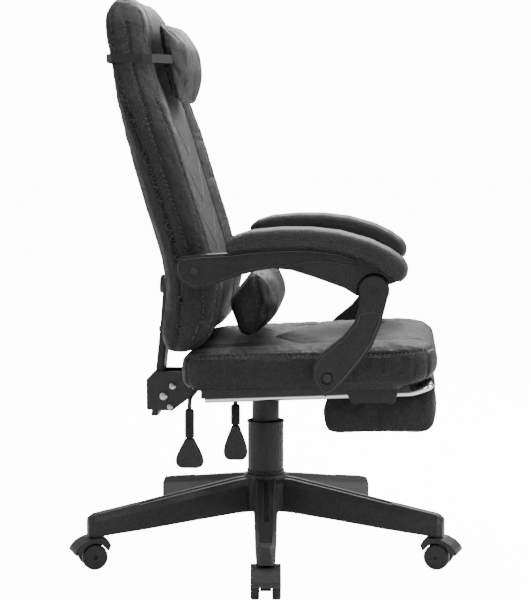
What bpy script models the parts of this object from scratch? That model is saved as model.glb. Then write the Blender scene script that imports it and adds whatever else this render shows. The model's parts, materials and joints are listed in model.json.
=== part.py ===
"""Gaming chair on a five-leg caster base, with linked armrests and a pull-out footrest.

Units are metres. +Z is up and the sitter faces -Y. The origin is on the floor, under the middle of
the chair's footprint, so the column stands a little to one side of it. Points of the chair are
written as (x, forward, z) with x measured from the column's axis and forward pointing where the
sitter looks; point() turns them into Blender's axes.
"""
import math

import bmesh
import bpy
from mathutils import Matrix, Vector

GAP = 0.0003

# Column and footprint
AXIS_X = 0.0235
AXIS_Y = 0.0070

# Base
LEG_COUNT = 5
FIRST_LEG_DEG = 175.9
STEM_RADIUS = 0.340
LEG_TOP = [(0.030, 0.160), (0.060, 0.157), (0.150, 0.1405), (0.250, 0.1215), (0.352, 0.1030),
           (0.362, 0.0970)]
LEG_BOTTOM = [(0.030, 0.094), (0.060, 0.093), (0.150, 0.0835), (0.250, 0.0720), (0.352, 0.0620),
              (0.362, 0.0640)]
LEG_WIDTH = [(0.030, 0.050), (0.060, 0.046), (0.150, 0.043), (0.250, 0.040), (0.352, 0.034), (0.362, 0.020)]
HUB_RADIUS = 0.050
HUB_BOTTOM = 0.094
HUB_TOP = 0.166
INSERT_START = 0.256
INSERT_END = 0.350
INSERT_HALF_WIDTH = 0.011
INSERT_DEPTH = 0.003
INSERT_RISE = 0.0012

# Casters
WHEEL_RADIUS = 0.025
WHEEL_WIDTH = 0.016
WHEEL_GAP = 0.023
CASTER_TRAIL = 0.013
STEM_SHAFT_RADIUS = 0.0052
AXLE_RADIUS = 0.004

# Column
TUBE_RADIUS = 0.025
TUBE_BOTTOM = 0.087
TUBE_TOP = 0.262
PISTON_RADIUS = 0.0139
COVER_LOWER_RADIUS = 0.0355
COVER_LOWER_TOP = 0.271
COVER_UPPER_RADIUS = 0.027
COVER_UPPER_BOTTOM = 0.212
COVER_UPPER_TOP = 0.3365

# Seat
SEAT_HALF_WIDTH = 0.250
SEAT_REAR = -0.142
SEAT_FRONT = 0.334
SEAT_SLOPE = 0.021
SEAT_BOTTOM = 0.3661
BOARD_THICKNESS = 0.011
BOARD_INSET = 0.014
BOARD_FRONT = 0.262
POCKET_GAP = 0.0006
RIM_FRONT = [(0.240, 0.3660), (0.262, 0.3722), (0.309, 0.3850), (0.334, 0.3950)]
SEAT_SEAM = 0.437

# Rear bracket and recline pivot, as (forward, z)
RECLINE_PIVOT = (-0.181, 0.342)
CHEEK_INNER = 0.0330
CHEEK_OUTER = 0.0365

# Backrest side profiles, as (z, forward)
BACK_REAR = [(0.431, -0.170), (0.459, -0.178), (0.511, -0.170), (0.555, -0.167), (0.600, -0.173),
             (0.688, -0.200), (0.798, -0.232), (0.907, -0.261), (1.059, -0.290)]
BACK_SEAM = [(0.431, -0.157), (0.478, -0.144), (0.552, -0.140), (0.616, -0.147), (0.717, -0.177),
             (0.827, -0.213), (0.936, -0.255), (1.045, -0.2805), (1.070, -0.284), (1.094, -0.274)]
BACK_FRONT = [(0.431, -0.134), (0.442, -0.108), (0.468, -0.085), (0.500, -0.072), (0.553, -0.063),
              (0.590, -0.074), (0.663, -0.095), (0.720, -0.113), (0.800, -0.137), (0.881, -0.162),
              (0.936, -0.186), (0.980, -0.200), (1.035, -0.208), (1.066, -0.216), (1.094, -0.243)]
BACK_HALF_WIDTH = [(0.431, 0.212), (0.442, 0.230), (0.468, 0.242), (0.553, 0.249), (0.700, 0.253),
                   (0.820, 0.254), (0.881, 0.245), (0.936, 0.222), (0.980, 0.205), (1.035, 0.194),
                   (1.066, 0.178), (1.082, 0.158), (1.094, 0.118)]
BACK_RECESS = [(0.431, 0.004), (0.500, 0.010), (0.620, 0.018), (0.880, 0.018), (1.000, 0.006), (1.094, 0.0)]
BACK_LEVELS = [0.431, 0.442, 0.468, 0.510, 0.553, 0.610, 0.680, 0.760, 0.840, 0.900, 0.950, 1.000, 1.045,
               1.058, 1.072, 1.084, 1.094]
COVER_TOP = 1.058
BOARD_LOW = 0.468
BOARD_HIGH = 1.000
BOARD_SLOT = 0.0115
BOARD_EDGE = 0.022
BOSS_HEIGHTS = (0.536, 0.470)

# Armrest, as (forward, z)
ARM_REAR_PIVOT = (-0.109, 0.590)
ARM_KNUCKLE = (0.217, 0.557)
ARM_FRONT_PIVOT = (0.133, 0.397)
ARM_TOP = [(-0.135, 0.6155), (-0.099, 0.6195), (-0.050, 0.6225), (0.000, 0.629), (0.050, 0.632),
           (0.100, 0.633), (0.150, 0.627), (0.200, 0.611), (0.235, 0.590), (0.258, 0.573)]
ARM_INNER = 0.268
ARM_OUTER = 0.296
STRUT_OUTER = 0.300
LAP_PLANE = 0.2818
KNUCKLE_RADIUS = 0.028
RELIEF = 0.0040

# Footrest
RAIL_X = 0.190
RAIL_RADIUS = 0.0065
RAIL_REAR = (-0.101, 0.3395)
RAIL_SLOPE = 0.0425
CHANNEL_LIP = 0.0025
BAR_CENTRE = (0.3215, 0.3680)
PAD_HALF_WIDTH = 0.142

MATERIALS = {
    "black_nylon": ((0.022, 0.022, 0.024), 0.50, 0.0),
    "dark_plastic": ((0.014, 0.014, 0.015), 0.42, 0.0),
    "insert_rubber": ((0.010, 0.010, 0.011), 0.75, 0.0),
    "black_steel": ((0.018, 0.018, 0.020), 0.38, 0.6),
    "chrome_tube": ((0.80, 0.80, 0.82), 0.12, 1.0),
    "bolt_steel": ((0.62, 0.62, 0.64), 0.25, 1.0),
    "black_leather": ((0.030, 0.030, 0.032), 0.48, 0.0),
    "black_fabric": ((0.012, 0.012, 0.013), 0.90, 0.0),
    "plywood": ((0.42, 0.30, 0.18), 0.70, 0.0),
}


def point(x, forward, z):
    """A chair point in Blender's axes."""
    return Vector((x, -forward, z))


def lookup(table, value):
    """Linear interpolation in a list of (key, result) pairs."""
    if value <= table[0][0]:
        return table[0][1]
    for (key_a, result_a), (key_b, result_b) in zip(table, table[1:]):
        if value <= key_b:
            share = (value - key_a) / (key_b - key_a)
            return result_a + share * (result_b - result_a)
    return table[-1][1]


def material(name):
    """The named material, made on first use."""
    existing = bpy.data.materials.get(name)
    if existing:
        return existing
    colour, roughness, metallic = MATERIALS[name]
    made = bpy.data.materials.new(name)
    made.use_nodes = True
    shader = made.node_tree.nodes["Principled BSDF"]
    shader.inputs["Base Color"].default_value = (*colour, 1.0)
    shader.inputs["Roughness"].default_value = roughness
    shader.inputs["Metallic"].default_value = metallic
    made.diffuse_color = (*colour, 1.0)
    return made


def face_out(mesh_data):
    """Turns every face of a closed bmesh outward."""
    bmesh.ops.recalc_face_normals(mesh_data, faces=mesh_data.faces)
    if mesh_data.calc_volume(signed=True) < 0:
        bmesh.ops.reverse_faces(mesh_data, faces=mesh_data.faces)


def make_object(name, mesh_data, material_name, smooth_deg=35):
    """An object made from a bmesh in chair coordinates, with its own material."""
    face_out(mesh_data)
    mesh = bpy.data.meshes.new(name)
    mesh_data.to_mesh(mesh)
    mesh_data.free()
    mesh.shade_smooth()
    mesh.set_sharp_from_angle(angle=math.radians(smooth_deg))
    made = bpy.data.objects.new(name, mesh)
    bpy.context.scene.collection.objects.link(made)
    if material_name:
        mesh.materials.append(material(material_name))
    return made


def loft(name, rings, material_name, smooth_deg=35):
    """A closed body through rings of equally many points, with flat ends."""
    mesh_data = bmesh.new()
    layers = [[mesh_data.verts.new(place) for place in ring] for ring in rings]
    count = len(layers[0])
    for low, high in zip(layers, layers[1:]):
        for index in range(count):
            after = (index + 1) % count
            mesh_data.faces.new((low[index], low[after], high[after], high[index]))
    mesh_data.faces.new(layers[0][::-1])
    mesh_data.faces.new(layers[-1])
    return make_object(name, mesh_data, material_name, smooth_deg)


def rounded(corners, steps=4):
    """A flat outline from (u, v, radius) corners, each rounded by an arc."""
    outline = []
    count = len(corners)
    for index, (u, v, radius) in enumerate(corners):
        here = Vector((u, v))
        before = Vector(corners[index - 1][:2]) - here
        after = Vector(corners[(index + 1) % count][:2]) - here
        if radius <= 0:
            outline.append((u, v))
            continue
        half = before.angle(after) / 2
        reach = min(radius / math.tan(half), 0.49 * before.length, 0.49 * after.length)
        start = here + before.normalized() * reach
        end = here + after.normalized() * reach
        for step in range(steps + 1):
            share = step / steps
            first = start.lerp(here, share)
            second = here.lerp(end, share)
            outline.append(tuple(first.lerp(second, share)))
    return outline


def side_slab(name, outline, x_low, x_high, material_name, edge=0.0):
    """A plate whose (forward, z) outline is extruded across x, with optional rounded rims."""
    rings = []
    if edge > 0:
        inner = inset(outline, edge)
        rings = [(x_low, inner), (x_low + edge, outline), (x_high - edge, outline), (x_high, inner)]
    else:
        rings = [(x_low, outline), (x_high, outline)]
    return loft(name, [[point(x, f, z) for f, z in ring] for x, ring in rings], material_name)


def inset(outline, distance):
    """A closed flat outline moved inward by a distance."""
    count = len(outline)
    area = 0.0
    for index in range(count):
        (u0, v0), (u1, v1) = outline[index], outline[(index + 1) % count]
        area += u0 * v1 - u1 * v0
    turn = 1 if area > 0 else -1
    moved = []
    for index in range(count):
        here = Vector(outline[index])
        before = (here - Vector(outline[index - 1])).normalized()
        after = (Vector(outline[(index + 1) % count]) - here).normalized()
        normal_a = Vector((-before.y, before.x)) * turn
        normal_b = Vector((-after.y, after.x)) * turn
        bisector = (normal_a + normal_b)
        bisector.normalize()
        scale = 1.0 / max(0.5, bisector.dot(normal_a))
        moved.append(tuple(here + bisector * distance * scale))
    return moved


def turned(name, profile, material_name, segments=32, centre=(0.0, 0.0), smooth_deg=35):
    """A body turned about a vertical axis from a closed (radius, z) profile off the axis."""
    rings = []
    for radius, z in profile:
        ring = []
        for index in range(segments):
            angle = 2 * math.pi * index / segments
            ring.append(point(centre[0] + radius * math.cos(angle),
                              centre[1] + radius * math.sin(angle), z))
        rings.append(ring)
    mesh_data = bmesh.new()
    layers = [[mesh_data.verts.new(place) for place in ring] for ring in rings]
    for low, high in zip(layers, layers[1:] + layers[:1]):
        for index in range(segments):
            after = (index + 1) % segments
            mesh_data.faces.new((low[index], low[after], high[after], high[index]))
    return make_object(name, mesh_data, material_name, smooth_deg)


def rod(name, start, end, radius, material_name, segments=20, end_radius=None):
    """A solid round bar between two Blender-axis points."""
    direction = (end - start).normalized()
    side = direction.orthogonal().normalized()
    up = direction.cross(side)
    rings = []
    for centre, size in ((start, radius), (end, end_radius or radius)):
        ring = []
        for index in range(segments):
            angle = 2 * math.pi * index / segments
            ring.append(centre + (side * math.cos(angle) + up * math.sin(angle)) * size)
        rings.append(ring)
    return loft(name, rings, material_name)


def cross_rod(name, x_low, x_high, place, radius, material_name, segments=20):
    """A round bar along x at a (forward, z) place."""
    return rod(name, point(x_low, *place), point(x_high, *place), radius, material_name, segments)


def tube_along(name, path, radius, material_name, segments=12):
    """A solid round bar that follows a list of points, kept untwisted."""
    rings = []
    side = (path[1] - path[0]).orthogonal().normalized()
    for index, centre in enumerate(path):
        before = path[max(index - 1, 0)]
        after = path[min(index + 1, len(path) - 1)]
        direction = (after - before).normalized()
        side = (side - direction * side.dot(direction)).normalized()
        up = direction.cross(side)
        ring = []
        for step in range(segments):
            angle = 2 * math.pi * step / segments
            ring.append(centre + (side * math.cos(angle) + up * math.sin(angle)) * radius)
        rings.append(ring)
    return loft(name, rings, material_name, 60)


def bent_path(corners, steps=5):
    """Points along straight runs joined by arcs at (place, radius) corners."""
    path = [corners[0][0]]
    for index in range(1, len(corners) - 1):
        here, radius = corners[index]
        before = corners[index - 1][0] - here
        after = corners[index + 1][0] - here
        half = before.angle(after) / 2
        reach = min(radius / math.tan(half), 0.49 * before.length, 0.49 * after.length)
        start = here + before.normalized() * reach
        end = here + after.normalized() * reach
        for step in range(steps + 1):
            share = step / steps
            path.append(start.lerp(here, share).lerp(here.lerp(end, share), share))
    path.append(corners[-1][0])
    return path


def combine(target, tools, operation):
    """Applies Boolean tools to an object and removes them."""
    for tool in tools:
        cut = target.modifiers.new("combine", "BOOLEAN")
        cut.operation = operation
        cut.solver = "EXACT"
        cut.object = tool
        graph = bpy.context.evaluated_depsgraph_get()
        result = bpy.data.meshes.new_from_object(target.evaluated_get(graph))
        old = target.data
        target.modifiers.remove(cut)
        target.data = result
        bpy.data.meshes.remove(old)
        bpy.data.objects.remove(tool)
    target.data.set_sharp_from_angle(angle=math.radians(35))
    return target


def settle(piece, pivot=(0.0, 0.0, 0.0)):
    """Moves an object's origin to a chair point and hangs it on the chair."""
    origin = point(*pivot)
    piece.data.transform(Matrix.Translation(-origin))
    piece.location = origin
    piece.parent = chair
    return piece


def leg_point(angle, along, across, z):
    """A point beside a base leg, measured along and across it."""
    x = along * math.cos(angle) - across * math.sin(angle)
    forward = along * math.sin(angle) + across * math.cos(angle)
    return point(x, forward, z)


def leg_angle(number):
    """The plan direction of a leg."""
    return math.radians(FIRST_LEG_DEG + 360.0 / LEG_COUNT * number)


# ---------------------------------------------------------------- base

def leg_solid(angle):
    """One leg: two shoulders with a shallow groove between them."""
    rings = []
    for along, top in LEG_TOP:
        bottom = lookup(LEG_BOTTOM, along)
        half = lookup(LEG_WIDTH, along) / 2
        lip = min(0.006, half / 3)
        groove = 0.004 if 0.05 < along < 0.26 else 0.0
        section = [(-half, bottom), (-half, top - 0.012), (-half + lip, top), (-lip, top),
                   (-lip * 0.6, top - groove), (lip * 0.6, top - groove), (lip, top),
                   (half - lip, top), (half, top - 0.012), (half, bottom)]
        rings.append([leg_point(angle, along, across, z) for across, z in section])
    return loft("leg", rings, None)


def leg_pockets(angle):
    """The underside pockets of a leg, with ribs left between them."""
    wall = 0.0045
    pockets = []
    for start, end in ((0.058, 0.132), (0.136, 0.216), (0.220, 0.312)):
        rings = []
        for along in (start, end):
            half = lookup(LEG_WIDTH, along) / 2 - wall
            roof = lookup(LEG_TOP, along) - 0.016
            floor = lookup(LEG_BOTTOM, along) - 0.02
            rings.append([leg_point(angle, along, across, z)
                          for across, z in ((-half, floor), (-half, roof), (half, roof), (half, floor))])
        pockets.append(loft("pocket", rings, None))
    return pockets


def insert_shape(angle):
    """A raised tongue with a round inner end, lying on a leg's sloping top."""
    half = INSERT_HALF_WIDTH
    outline = [(INSERT_END, -half), (INSERT_END, half)]
    for step in range(5):
        turn = math.pi * (0.5 + step / 4)
        outline.append((INSERT_START + half + half * math.cos(turn), half * math.sin(turn)))
    rings = []
    for offset in (-INSERT_DEPTH, INSERT_RISE):
        rings.append([leg_point(angle, along, across, lookup(LEG_TOP, along) + offset)
                      for along, across in outline])
    return loft("insert", rings, None)


def build_base():
    """The five-leg star, with a raised tongue on each leg end."""
    hub_profile = [(0.0262, HUB_BOTTOM), (HUB_RADIUS - 0.004, HUB_BOTTOM), (HUB_RADIUS, HUB_BOTTOM + 0.004),
                   (HUB_RADIUS, 0.150), (0.043, 0.158), (0.041, HUB_TOP), (0.0262, HUB_TOP)]
    star = turned("base_star", hub_profile, "black_nylon", 30)
    for number in range(LEG_COUNT):
        angle = leg_angle(number)
        combine(star, [leg_solid(angle)], "UNION")
        combine(star, leg_pockets(angle), "DIFFERENCE")
        combine(star, [insert_shape(angle)], "UNION")
        floor = leg_point(angle, STEM_RADIUS, 0, 0.05)
        roof = leg_point(angle, STEM_RADIUS, 0, 0.094)
        combine(star, [rod("socket", floor, roof, STEM_SHAFT_RADIUS + GAP, None, 12)], "DIFFERENCE")
    bore = turned_cone("bore", TUBE_RADIUS + GAP, HUB_BOTTOM - 0.01, HUB_TOP + 0.01)
    combine(star, [bore], "DIFFERENCE")
    settle(star)


def turned_cone(name, radius, low, high):
    """A round cutter about the column's axis."""
    return rod(name, point(0, 0, low), point(0, 0, high), radius, None, 30)


# ---------------------------------------------------------------- casters

def caster_point(angle, along, across, z):
    """A point beside a caster, measured outward from its stem."""
    return leg_point(angle, STEM_RADIUS + along, across, z)


def caster_slab(angle, outline, half_width):
    """A plate of a caster's (along, z) outline, across its width."""
    rings = []
    for across in (-half_width, half_width):
        rings.append([caster_point(angle, along, across, z) for along, z in outline])
    return loft("plate", rings, None)


def arc(centre, radius, start_deg, end_deg, steps):
    """Points on an arc in a flat outline."""
    points = []
    for step in range(steps + 1):
        angle = math.radians(start_deg + (end_deg - start_deg) * step / steps)
        points.append((centre[0] + radius * math.cos(angle), centre[1] + radius * math.sin(angle)))
    return points


def build_hood(number):
    """A caster's hood, centre web, stem and axle, as one moulding with its steel pins."""
    angle = leg_angle(number)
    wheel = (CASTER_TRAIL, WHEEL_RADIUS)
    visor = arc(wheel, WHEEL_RADIUS + 0.003, 22, 158, 6)
    visor += [(-0.0185, 0.047), (-0.0120, 0.0580), (-0.0070, 0.0612), (0.0100, 0.0612),
              (0.0260, 0.0585), (0.0410, 0.0510), (0.0510, 0.0405), (0.0540, 0.0335), (0.0500, 0.0300)]
    web = arc(wheel, 0.010, 180, 360, 4) + [(0.0240, 0.0470), (-0.0060, 0.0500)]
    hood = caster_slab(angle, visor, WHEEL_GAP / 2 + WHEEL_WIDTH)
    hood.name = "caster_%d_hood" % number
    hood.data.materials.append(material("black_nylon"))
    parts = [caster_slab(angle, web, WHEEL_GAP / 2 - 0.0015)]
    stem_low = caster_point(angle, 0, 0, 0.055)
    stem_high = caster_point(angle, 0, 0, 0.0925)
    parts.append(rod("stem", stem_low, stem_high, STEM_SHAFT_RADIUS, None, 12))
    reach = WHEEL_GAP / 2 + WHEEL_WIDTH - 0.003
    parts.append(rod("axle", caster_point(angle, CASTER_TRAIL, -reach, WHEEL_RADIUS),
                     caster_point(angle, CASTER_TRAIL, reach, WHEEL_RADIUS), AXLE_RADIUS, None, 12))
    combine(hood, parts, "UNION")
    x = STEM_RADIUS * math.cos(angle)
    forward = STEM_RADIUS * math.sin(angle)
    settle(hood, (x, forward, 0.061))


def build_wheel(number, name, side):
    """One wheel of a twin caster, with an axle hole."""
    angle = leg_angle(number)
    inner = WHEEL_GAP / 2
    outer = inner + WHEEL_WIDTH
    hole = AXLE_RADIUS + GAP
    profile = [(hole, inner), (0.0225, inner), (WHEEL_RADIUS, inner + 0.003), (WHEEL_RADIUS, outer - 0.003),
               (0.0225, outer), (hole, outer)]
    segments = 18
    mesh_data = bmesh.new()
    layers = []
    for radius, across in profile:
        ring = []
        for index in range(segments):
            turn = 2 * math.pi * (index + 0.5) / segments - math.pi / 2
            ring.append(mesh_data.verts.new(caster_point(
                angle, CASTER_TRAIL + radius * math.cos(turn), side * across,
                WHEEL_RADIUS + radius * math.sin(turn))))
        layers.append(ring)
    for low, high in zip(layers, layers[1:] + layers[:1]):
        for index in range(segments):
            after = (index + 1) % segments
            mesh_data.faces.new((low[index], low[after], high[after], high[index]))
    wheel = make_object("caster_%d_wheel_%s" % (number, name), mesh_data, "dark_plastic")
    radius = STEM_RADIUS + CASTER_TRAIL
    settle(wheel, (radius * math.cos(angle), radius * math.sin(angle), WHEEL_RADIUS))


# ---------------------------------------------------------------- column

def build_column():
    """The gas lift and its telescopic covers."""
    tube = [(0.0055, TUBE_BOTTOM), (TUBE_RADIUS - 0.002, TUBE_BOTTOM), (TUBE_RADIUS, TUBE_BOTTOM + 0.002),
            (TUBE_RADIUS, TUBE_TOP - 0.001), (TUBE_RADIUS - 0.001, TUBE_TOP),
            (PISTON_RADIUS + GAP, TUBE_TOP),
            (PISTON_RADIUS + GAP, 0.100), (0.0055, 0.100)]
    settle(turned("gas_tube", tube, "black_steel", 24))
    piston = [(0.0056, 0.150), (PISTON_RADIUS, 0.150), (PISTON_RADIUS, 0.330), (0.0128, 0.3585),
              (0.0020, 0.3585), (0.0020, 0.300), (0.0056, 0.298)]
    settle(turned("gas_piston", piston, "chrome_tube", 24))
    shaft = rod("piston_rod", point(0, 0, 0.0830), point(0, 0, 0.255), 0.0052, "bolt_steel", 16)
    clip = rod("clip", point(0, 0, 0.0828), point(0, 0, 0.0865), 0.0095, None, 16)
    settle(combine(shaft, [clip], "UNION"))
    lower = [(0.0268, HUB_TOP + GAP), (COVER_LOWER_RADIUS, HUB_TOP + GAP),
             (COVER_LOWER_RADIUS, COVER_LOWER_TOP - 0.001), (COVER_LOWER_RADIUS - 0.001, COVER_LOWER_TOP),
             (0.0325, COVER_LOWER_TOP), (0.0325, HUB_TOP + 0.0035), (0.0268, HUB_TOP + 0.0035)]
    settle(turned("column_cover_lower", lower, "dark_plastic", 28))
    upper = [(COVER_UPPER_RADIUS - 0.0014, COVER_UPPER_BOTTOM), (COVER_UPPER_RADIUS, COVER_UPPER_BOTTOM),
             (COVER_UPPER_RADIUS, COVER_UPPER_TOP), (PISTON_RADIUS + 0.001, COVER_UPPER_TOP),
             (PISTON_RADIUS + 0.001, COVER_UPPER_TOP - 0.002),
             (COVER_UPPER_RADIUS - 0.0014, COVER_UPPER_TOP - 0.002)]
    settle(turned("column_cover_upper", upper, "dark_plastic", 28))


# ---------------------------------------------------------------- seat

def seat_underside(forward):
    """Height of the seat board's underside."""
    return SEAT_BOTTOM + SEAT_SLOPE * forward


def rim_height(forward):
    """Height of the cushion's lower rim, which turns up at the front."""
    return max(seat_underside(forward), lookup(RIM_FRONT, forward))


def seat_outline(shrink, corner_front, corner_rear, front_edge=SEAT_FRONT):
    """The seat's plan outline, as (x, forward)."""
    half = SEAT_HALF_WIDTH - shrink
    front = front_edge - shrink
    rear = SEAT_REAR + shrink
    corners = [(half, rear, corner_rear), (half, front, corner_front),
               (-half, front, corner_front), (-half, rear, corner_rear)]
    outline = []
    for x, forward in rounded(corners, 5):
        outline.append((x, forward))
    return outline


def seat_height(shrink, forward):
    """Height of the seat's top skin, by distance in from its edge and by place along it."""
    rise = lookup([(0.0, 0.0), (0.020, 0.012), (0.050, 0.018), (0.090, 0.013), (0.200, 0.010)], shrink)
    fall = lookup([(-0.142, 0.011), (-0.080, 0.008), (0.060, 0.003), (0.200, 0.0), (0.334, 0.0)], forward)
    share = lookup([(-0.142, 0.10), (-0.060, 0.45), (0.060, 0.85), (0.200, 1.0)], forward)
    return SEAT_SEAM + rise * share - fall


def build_seat():
    """The plywood board and the cushion on it."""
    board_outline = seat_outline(BOARD_INSET, 0.045, 0.040, BOARD_FRONT + BOARD_INSET)
    rings = []
    for lift in (0.0, BOARD_THICKNESS):
        rings.append([point(x, f, seat_underside(f) + lift) for x, f in board_outline])
    settle(loft("seat_board", rings, "plywood"))
    floor = BOARD_THICKNESS + GAP
    pocket = seat_outline(BOARD_INSET - POCKET_GAP, 0.045, 0.040, BOARD_FRONT + BOARD_INSET)
    rings = []
    for lift in (floor, 0.0):
        rings.append([point(x, f, max(seat_underside(f) + lift, rim_height(f) - 0.001 * (1 - lift / floor)))
                      for x, f in pocket])
    for shrink, rise in ((0.009, 0.0), (0.001, 0.010)):
        rings.append([point(x, f, rim_height(f) + rise) for x, f in seat_outline(shrink, 0.050, 0.045)])
    for shrink in (0.0, 0.006, 0.020, 0.050, 0.090, 0.140, 0.200):
        ring = []
        for x, f in seat_outline(shrink, max(0.05 - shrink / 4, 0.01), max(0.045 - shrink / 4, 0.01)):
            drop = 0.012 if shrink == 0.0 else 0.0
            ring.append(point(x, f, seat_height(shrink, f) - drop))
        rings.append(ring)
    settle(loft("seat_cushion", rings, "black_leather", 60))


def build_mechanism():
    """The pressed plate and box under the seat, with the socket for the gas lift's cone."""
    top = 0.3635
    plate_outline = [(-0.10, 0.3600), (0.11, 0.3600), (0.11, top), (-0.10, top)]
    frame = side_slab("seat_mechanism", plate_outline, -0.080, 0.080, "black_steel", 0.0008)
    box_outline = rounded([(-0.070, 0.3380, 0.004), (0.070, 0.3380, 0.004), (0.070, 0.3610, 0),
                           (-0.070, 0.3610, 0)], 2)
    box = side_slab("box", box_outline, -CHEEK_INNER + 0.0005, CHEEK_INNER - 0.0005, None, 0.0008)
    combine(frame, [box], "UNION")
    socket = rod("socket", point(0, 0, 0.33), point(0, 0, 0.3592), PISTON_RADIUS + 0.0005, None, 32, 0.0133)
    combine(frame, [socket], "DIFFERENCE")
    settle(frame)


def build_lever(name, x_pivot, x_hang, forward, z_rod, z_end, grip_low, grip_half):
    """A rod that comes out sideways, hangs down in a ribbed sheath and ends in a paddle grip."""
    corner = point(x_hang, forward, z_rod)
    path = bent_path([(point(x_pivot, forward, z_rod), 0), (corner, 0.016),
                      (point(x_hang, forward, z_end), 0)], 4)
    lever = tube_along(name + "_lever", path, 0.0040, "black_steel", 10)
    profile = [(0.0045, z_end + 0.0005), (0.0088, z_end + 0.0005), (0.0088, z_rod - 0.022),
               (0.0070, z_rod - 0.018),
               (0.0045, z_rod - 0.018)]
    sheath = turned(name + "_sheath", profile, "insert_rubber", 14, (x_hang, forward))
    settle(lever, (x_pivot, forward, z_rod))
    settle(sheath, (x_pivot, forward, z_rod))
    width = [(0.0, 0.36), (0.18, 0.50), (0.55, 0.88), (0.80, 1.0), (0.94, 0.90), (1.0, 0.62)]
    rings = []
    for share, scale in width:
        z = z_end - GAP - share * (z_end - grip_low)
        half = grip_half * scale
        depth = 0.0085 - 0.0025 * share
        outline = rounded([(half, depth, depth * 0.9), (-half, depth, depth * 0.9),
                           (-half, -depth, depth * 0.9), (half, -depth, depth * 0.9)], 3)
        rings.append([point(x_hang + v, forward + u, z) for u, v in outline])
    settle(loft(name + "_grip", rings, "dark_plastic", 60), (x_pivot, forward, z_rod))


# ---------------------------------------------------------------- recline bracket

def build_bracket():
    """Cheek plates with their web and domed rivets, the pivot pin and its spring."""
    outline = rounded([(-0.233, 0.295, 0.003), (-0.182, 0.293, 0.003), (-0.152, 0.316, 0.004),
                       (-0.128, 0.339, 0.006),
                       (0.050, 0.342, 0.003), (0.050, 0.3595, 0), (-0.147, 0.3595, 0.002),
                       (-0.158, 0.371, 0.003),
                       (-0.217, 0.371, 0.004), (-0.233, 0.356, 0.006)], 2)
    cheek = side_slab("rear_bracket", outline, CHEEK_INNER, CHEEK_OUTER, "black_steel")
    far_cheek = side_slab("far_cheek", outline, -CHEEK_OUTER, -CHEEK_INNER, None)
    web_outline = [(-0.134, 0.3480), (-0.078, 0.3480), (-0.078, 0.3520), (-0.134, 0.3520)]
    web = side_slab("web", web_outline, -CHEEK_INNER - 0.001, CHEEK_INNER + 0.001, None)
    combine(cheek, [web, far_cheek], "UNION")
    hole = cross_rod("hole", -0.05, 0.05, RECLINE_PIVOT, 0.0050 + GAP, None, 16)
    combine(cheek, [hole], "DIFFERENCE")
    for place, head in (((-0.199, 0.322), 0.0080), ((-0.186, 0.301), 0.0060)):
        combine(cheek, [domed_head(place, side, CHEEK_OUTER - 0.0005, head) for side in (-1, 1)], "UNION")
    pin = cross_rod("recline_pin", -CHEEK_OUTER - 0.001, CHEEK_OUTER + 0.001, RECLINE_PIVOT, 0.0050,
                    "bolt_steel", 16)
    combine(pin, [domed_head(RECLINE_PIVOT, side, CHEEK_OUTER + GAP, 0.0068) for side in (-1, 1)], "UNION")
    settle(cheek)
    settle(pin)
    turns = 4
    steps = 10
    path = []
    for step in range(turns * steps + 1):
        angle = 2 * math.pi * step / steps
        x = -0.0125 + 0.025 * step / (turns * steps)
        path.append(point(x, RECLINE_PIVOT[0] + 0.0078 * math.cos(angle),
                          RECLINE_PIVOT[1] + 0.0078 * math.sin(angle)))
    settle(tube_along("recline_spring", path, 0.0016, "black_steel", 5))


def domed_head(place, side, base, radius):
    """A domed bolt head standing on a plate's outer face."""
    rings = []
    for lift, share in ((0.0, 1.0), (0.0018, 1.0), (0.0042, 0.55)):
        ring = []
        for index in range(10):
            angle = 2 * math.pi * index / 10
            ring.append(point(side * (base + lift), place[0] + radius * share * math.cos(angle),
                              place[1] + radius * share * math.sin(angle)))
        rings.append(ring)
    return loft("head", rings, None)


def build_back_bar():
    """The steel bar from the recline pivot up behind the backrest."""
    bar_line = [(0.282, -0.2185), (0.340, -0.2120), (0.371, -0.2080), (0.460, -0.1985), (0.556, -0.1910)]
    rings = []
    for z, forward in bar_line:
        half_x = 0.0300
        half_f = 0.0068 if z < 0.30 else 0.0078
        outline = rounded([(half_x, half_f, 0.004), (-half_x, half_f, 0.004),
                           (-half_x, -half_f, 0.004), (half_x, -half_f, 0.004)], 2)
        rings.append([point(u, forward + v, z) for u, v in outline])
    bar = loft("back_bar", rings, "black_steel")
    lug_outline = rounded([(-0.212, 0.330, 0.002), (-0.181, 0.3285, 0.012), (-0.1675, 0.342, 0.012),
                           (-0.181, 0.3555, 0.012), (-0.212, 0.362, 0.002)], 4)
    for side in (-1, 1):
        low, high = sorted((side * 0.016, side * 0.0295))
        combine(bar, [side_slab("lug", lug_outline, low, high, None)], "UNION")
    combine(bar, [cross_rod("hole", -0.05, 0.05, RECLINE_PIVOT, 0.0050 + GAP, None, 16)], "DIFFERENCE")
    bosses = []
    for z in BOSS_HEIGHTS:
        rear = point(0, lookup(bar_line, z), z)
        front = point(0, lookup(BACK_SEAM, z) - 0.0035, z)
        bosses.append(rod("boss", rear, front, 0.010, None, 16))
    knob_base = point(0, lookup(bar_line, 0.541), 0.541)
    bosses.append(rod("knob", knob_base, knob_base + Vector((0, 0.016, 0.001)), 0.021, None, 20, 0.017))
    bolt_base = point(0, lookup(bar_line, 0.452), 0.452)
    bosses.append(rod("bolt", bolt_base, bolt_base + Vector((0, 0.0125, 0.0008)), 0.007, None, 12, 0.005))
    combine(bar, bosses, "UNION")
    settle(bar, (0, *RECLINE_PIVOT))


# ---------------------------------------------------------------- backrest

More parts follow.
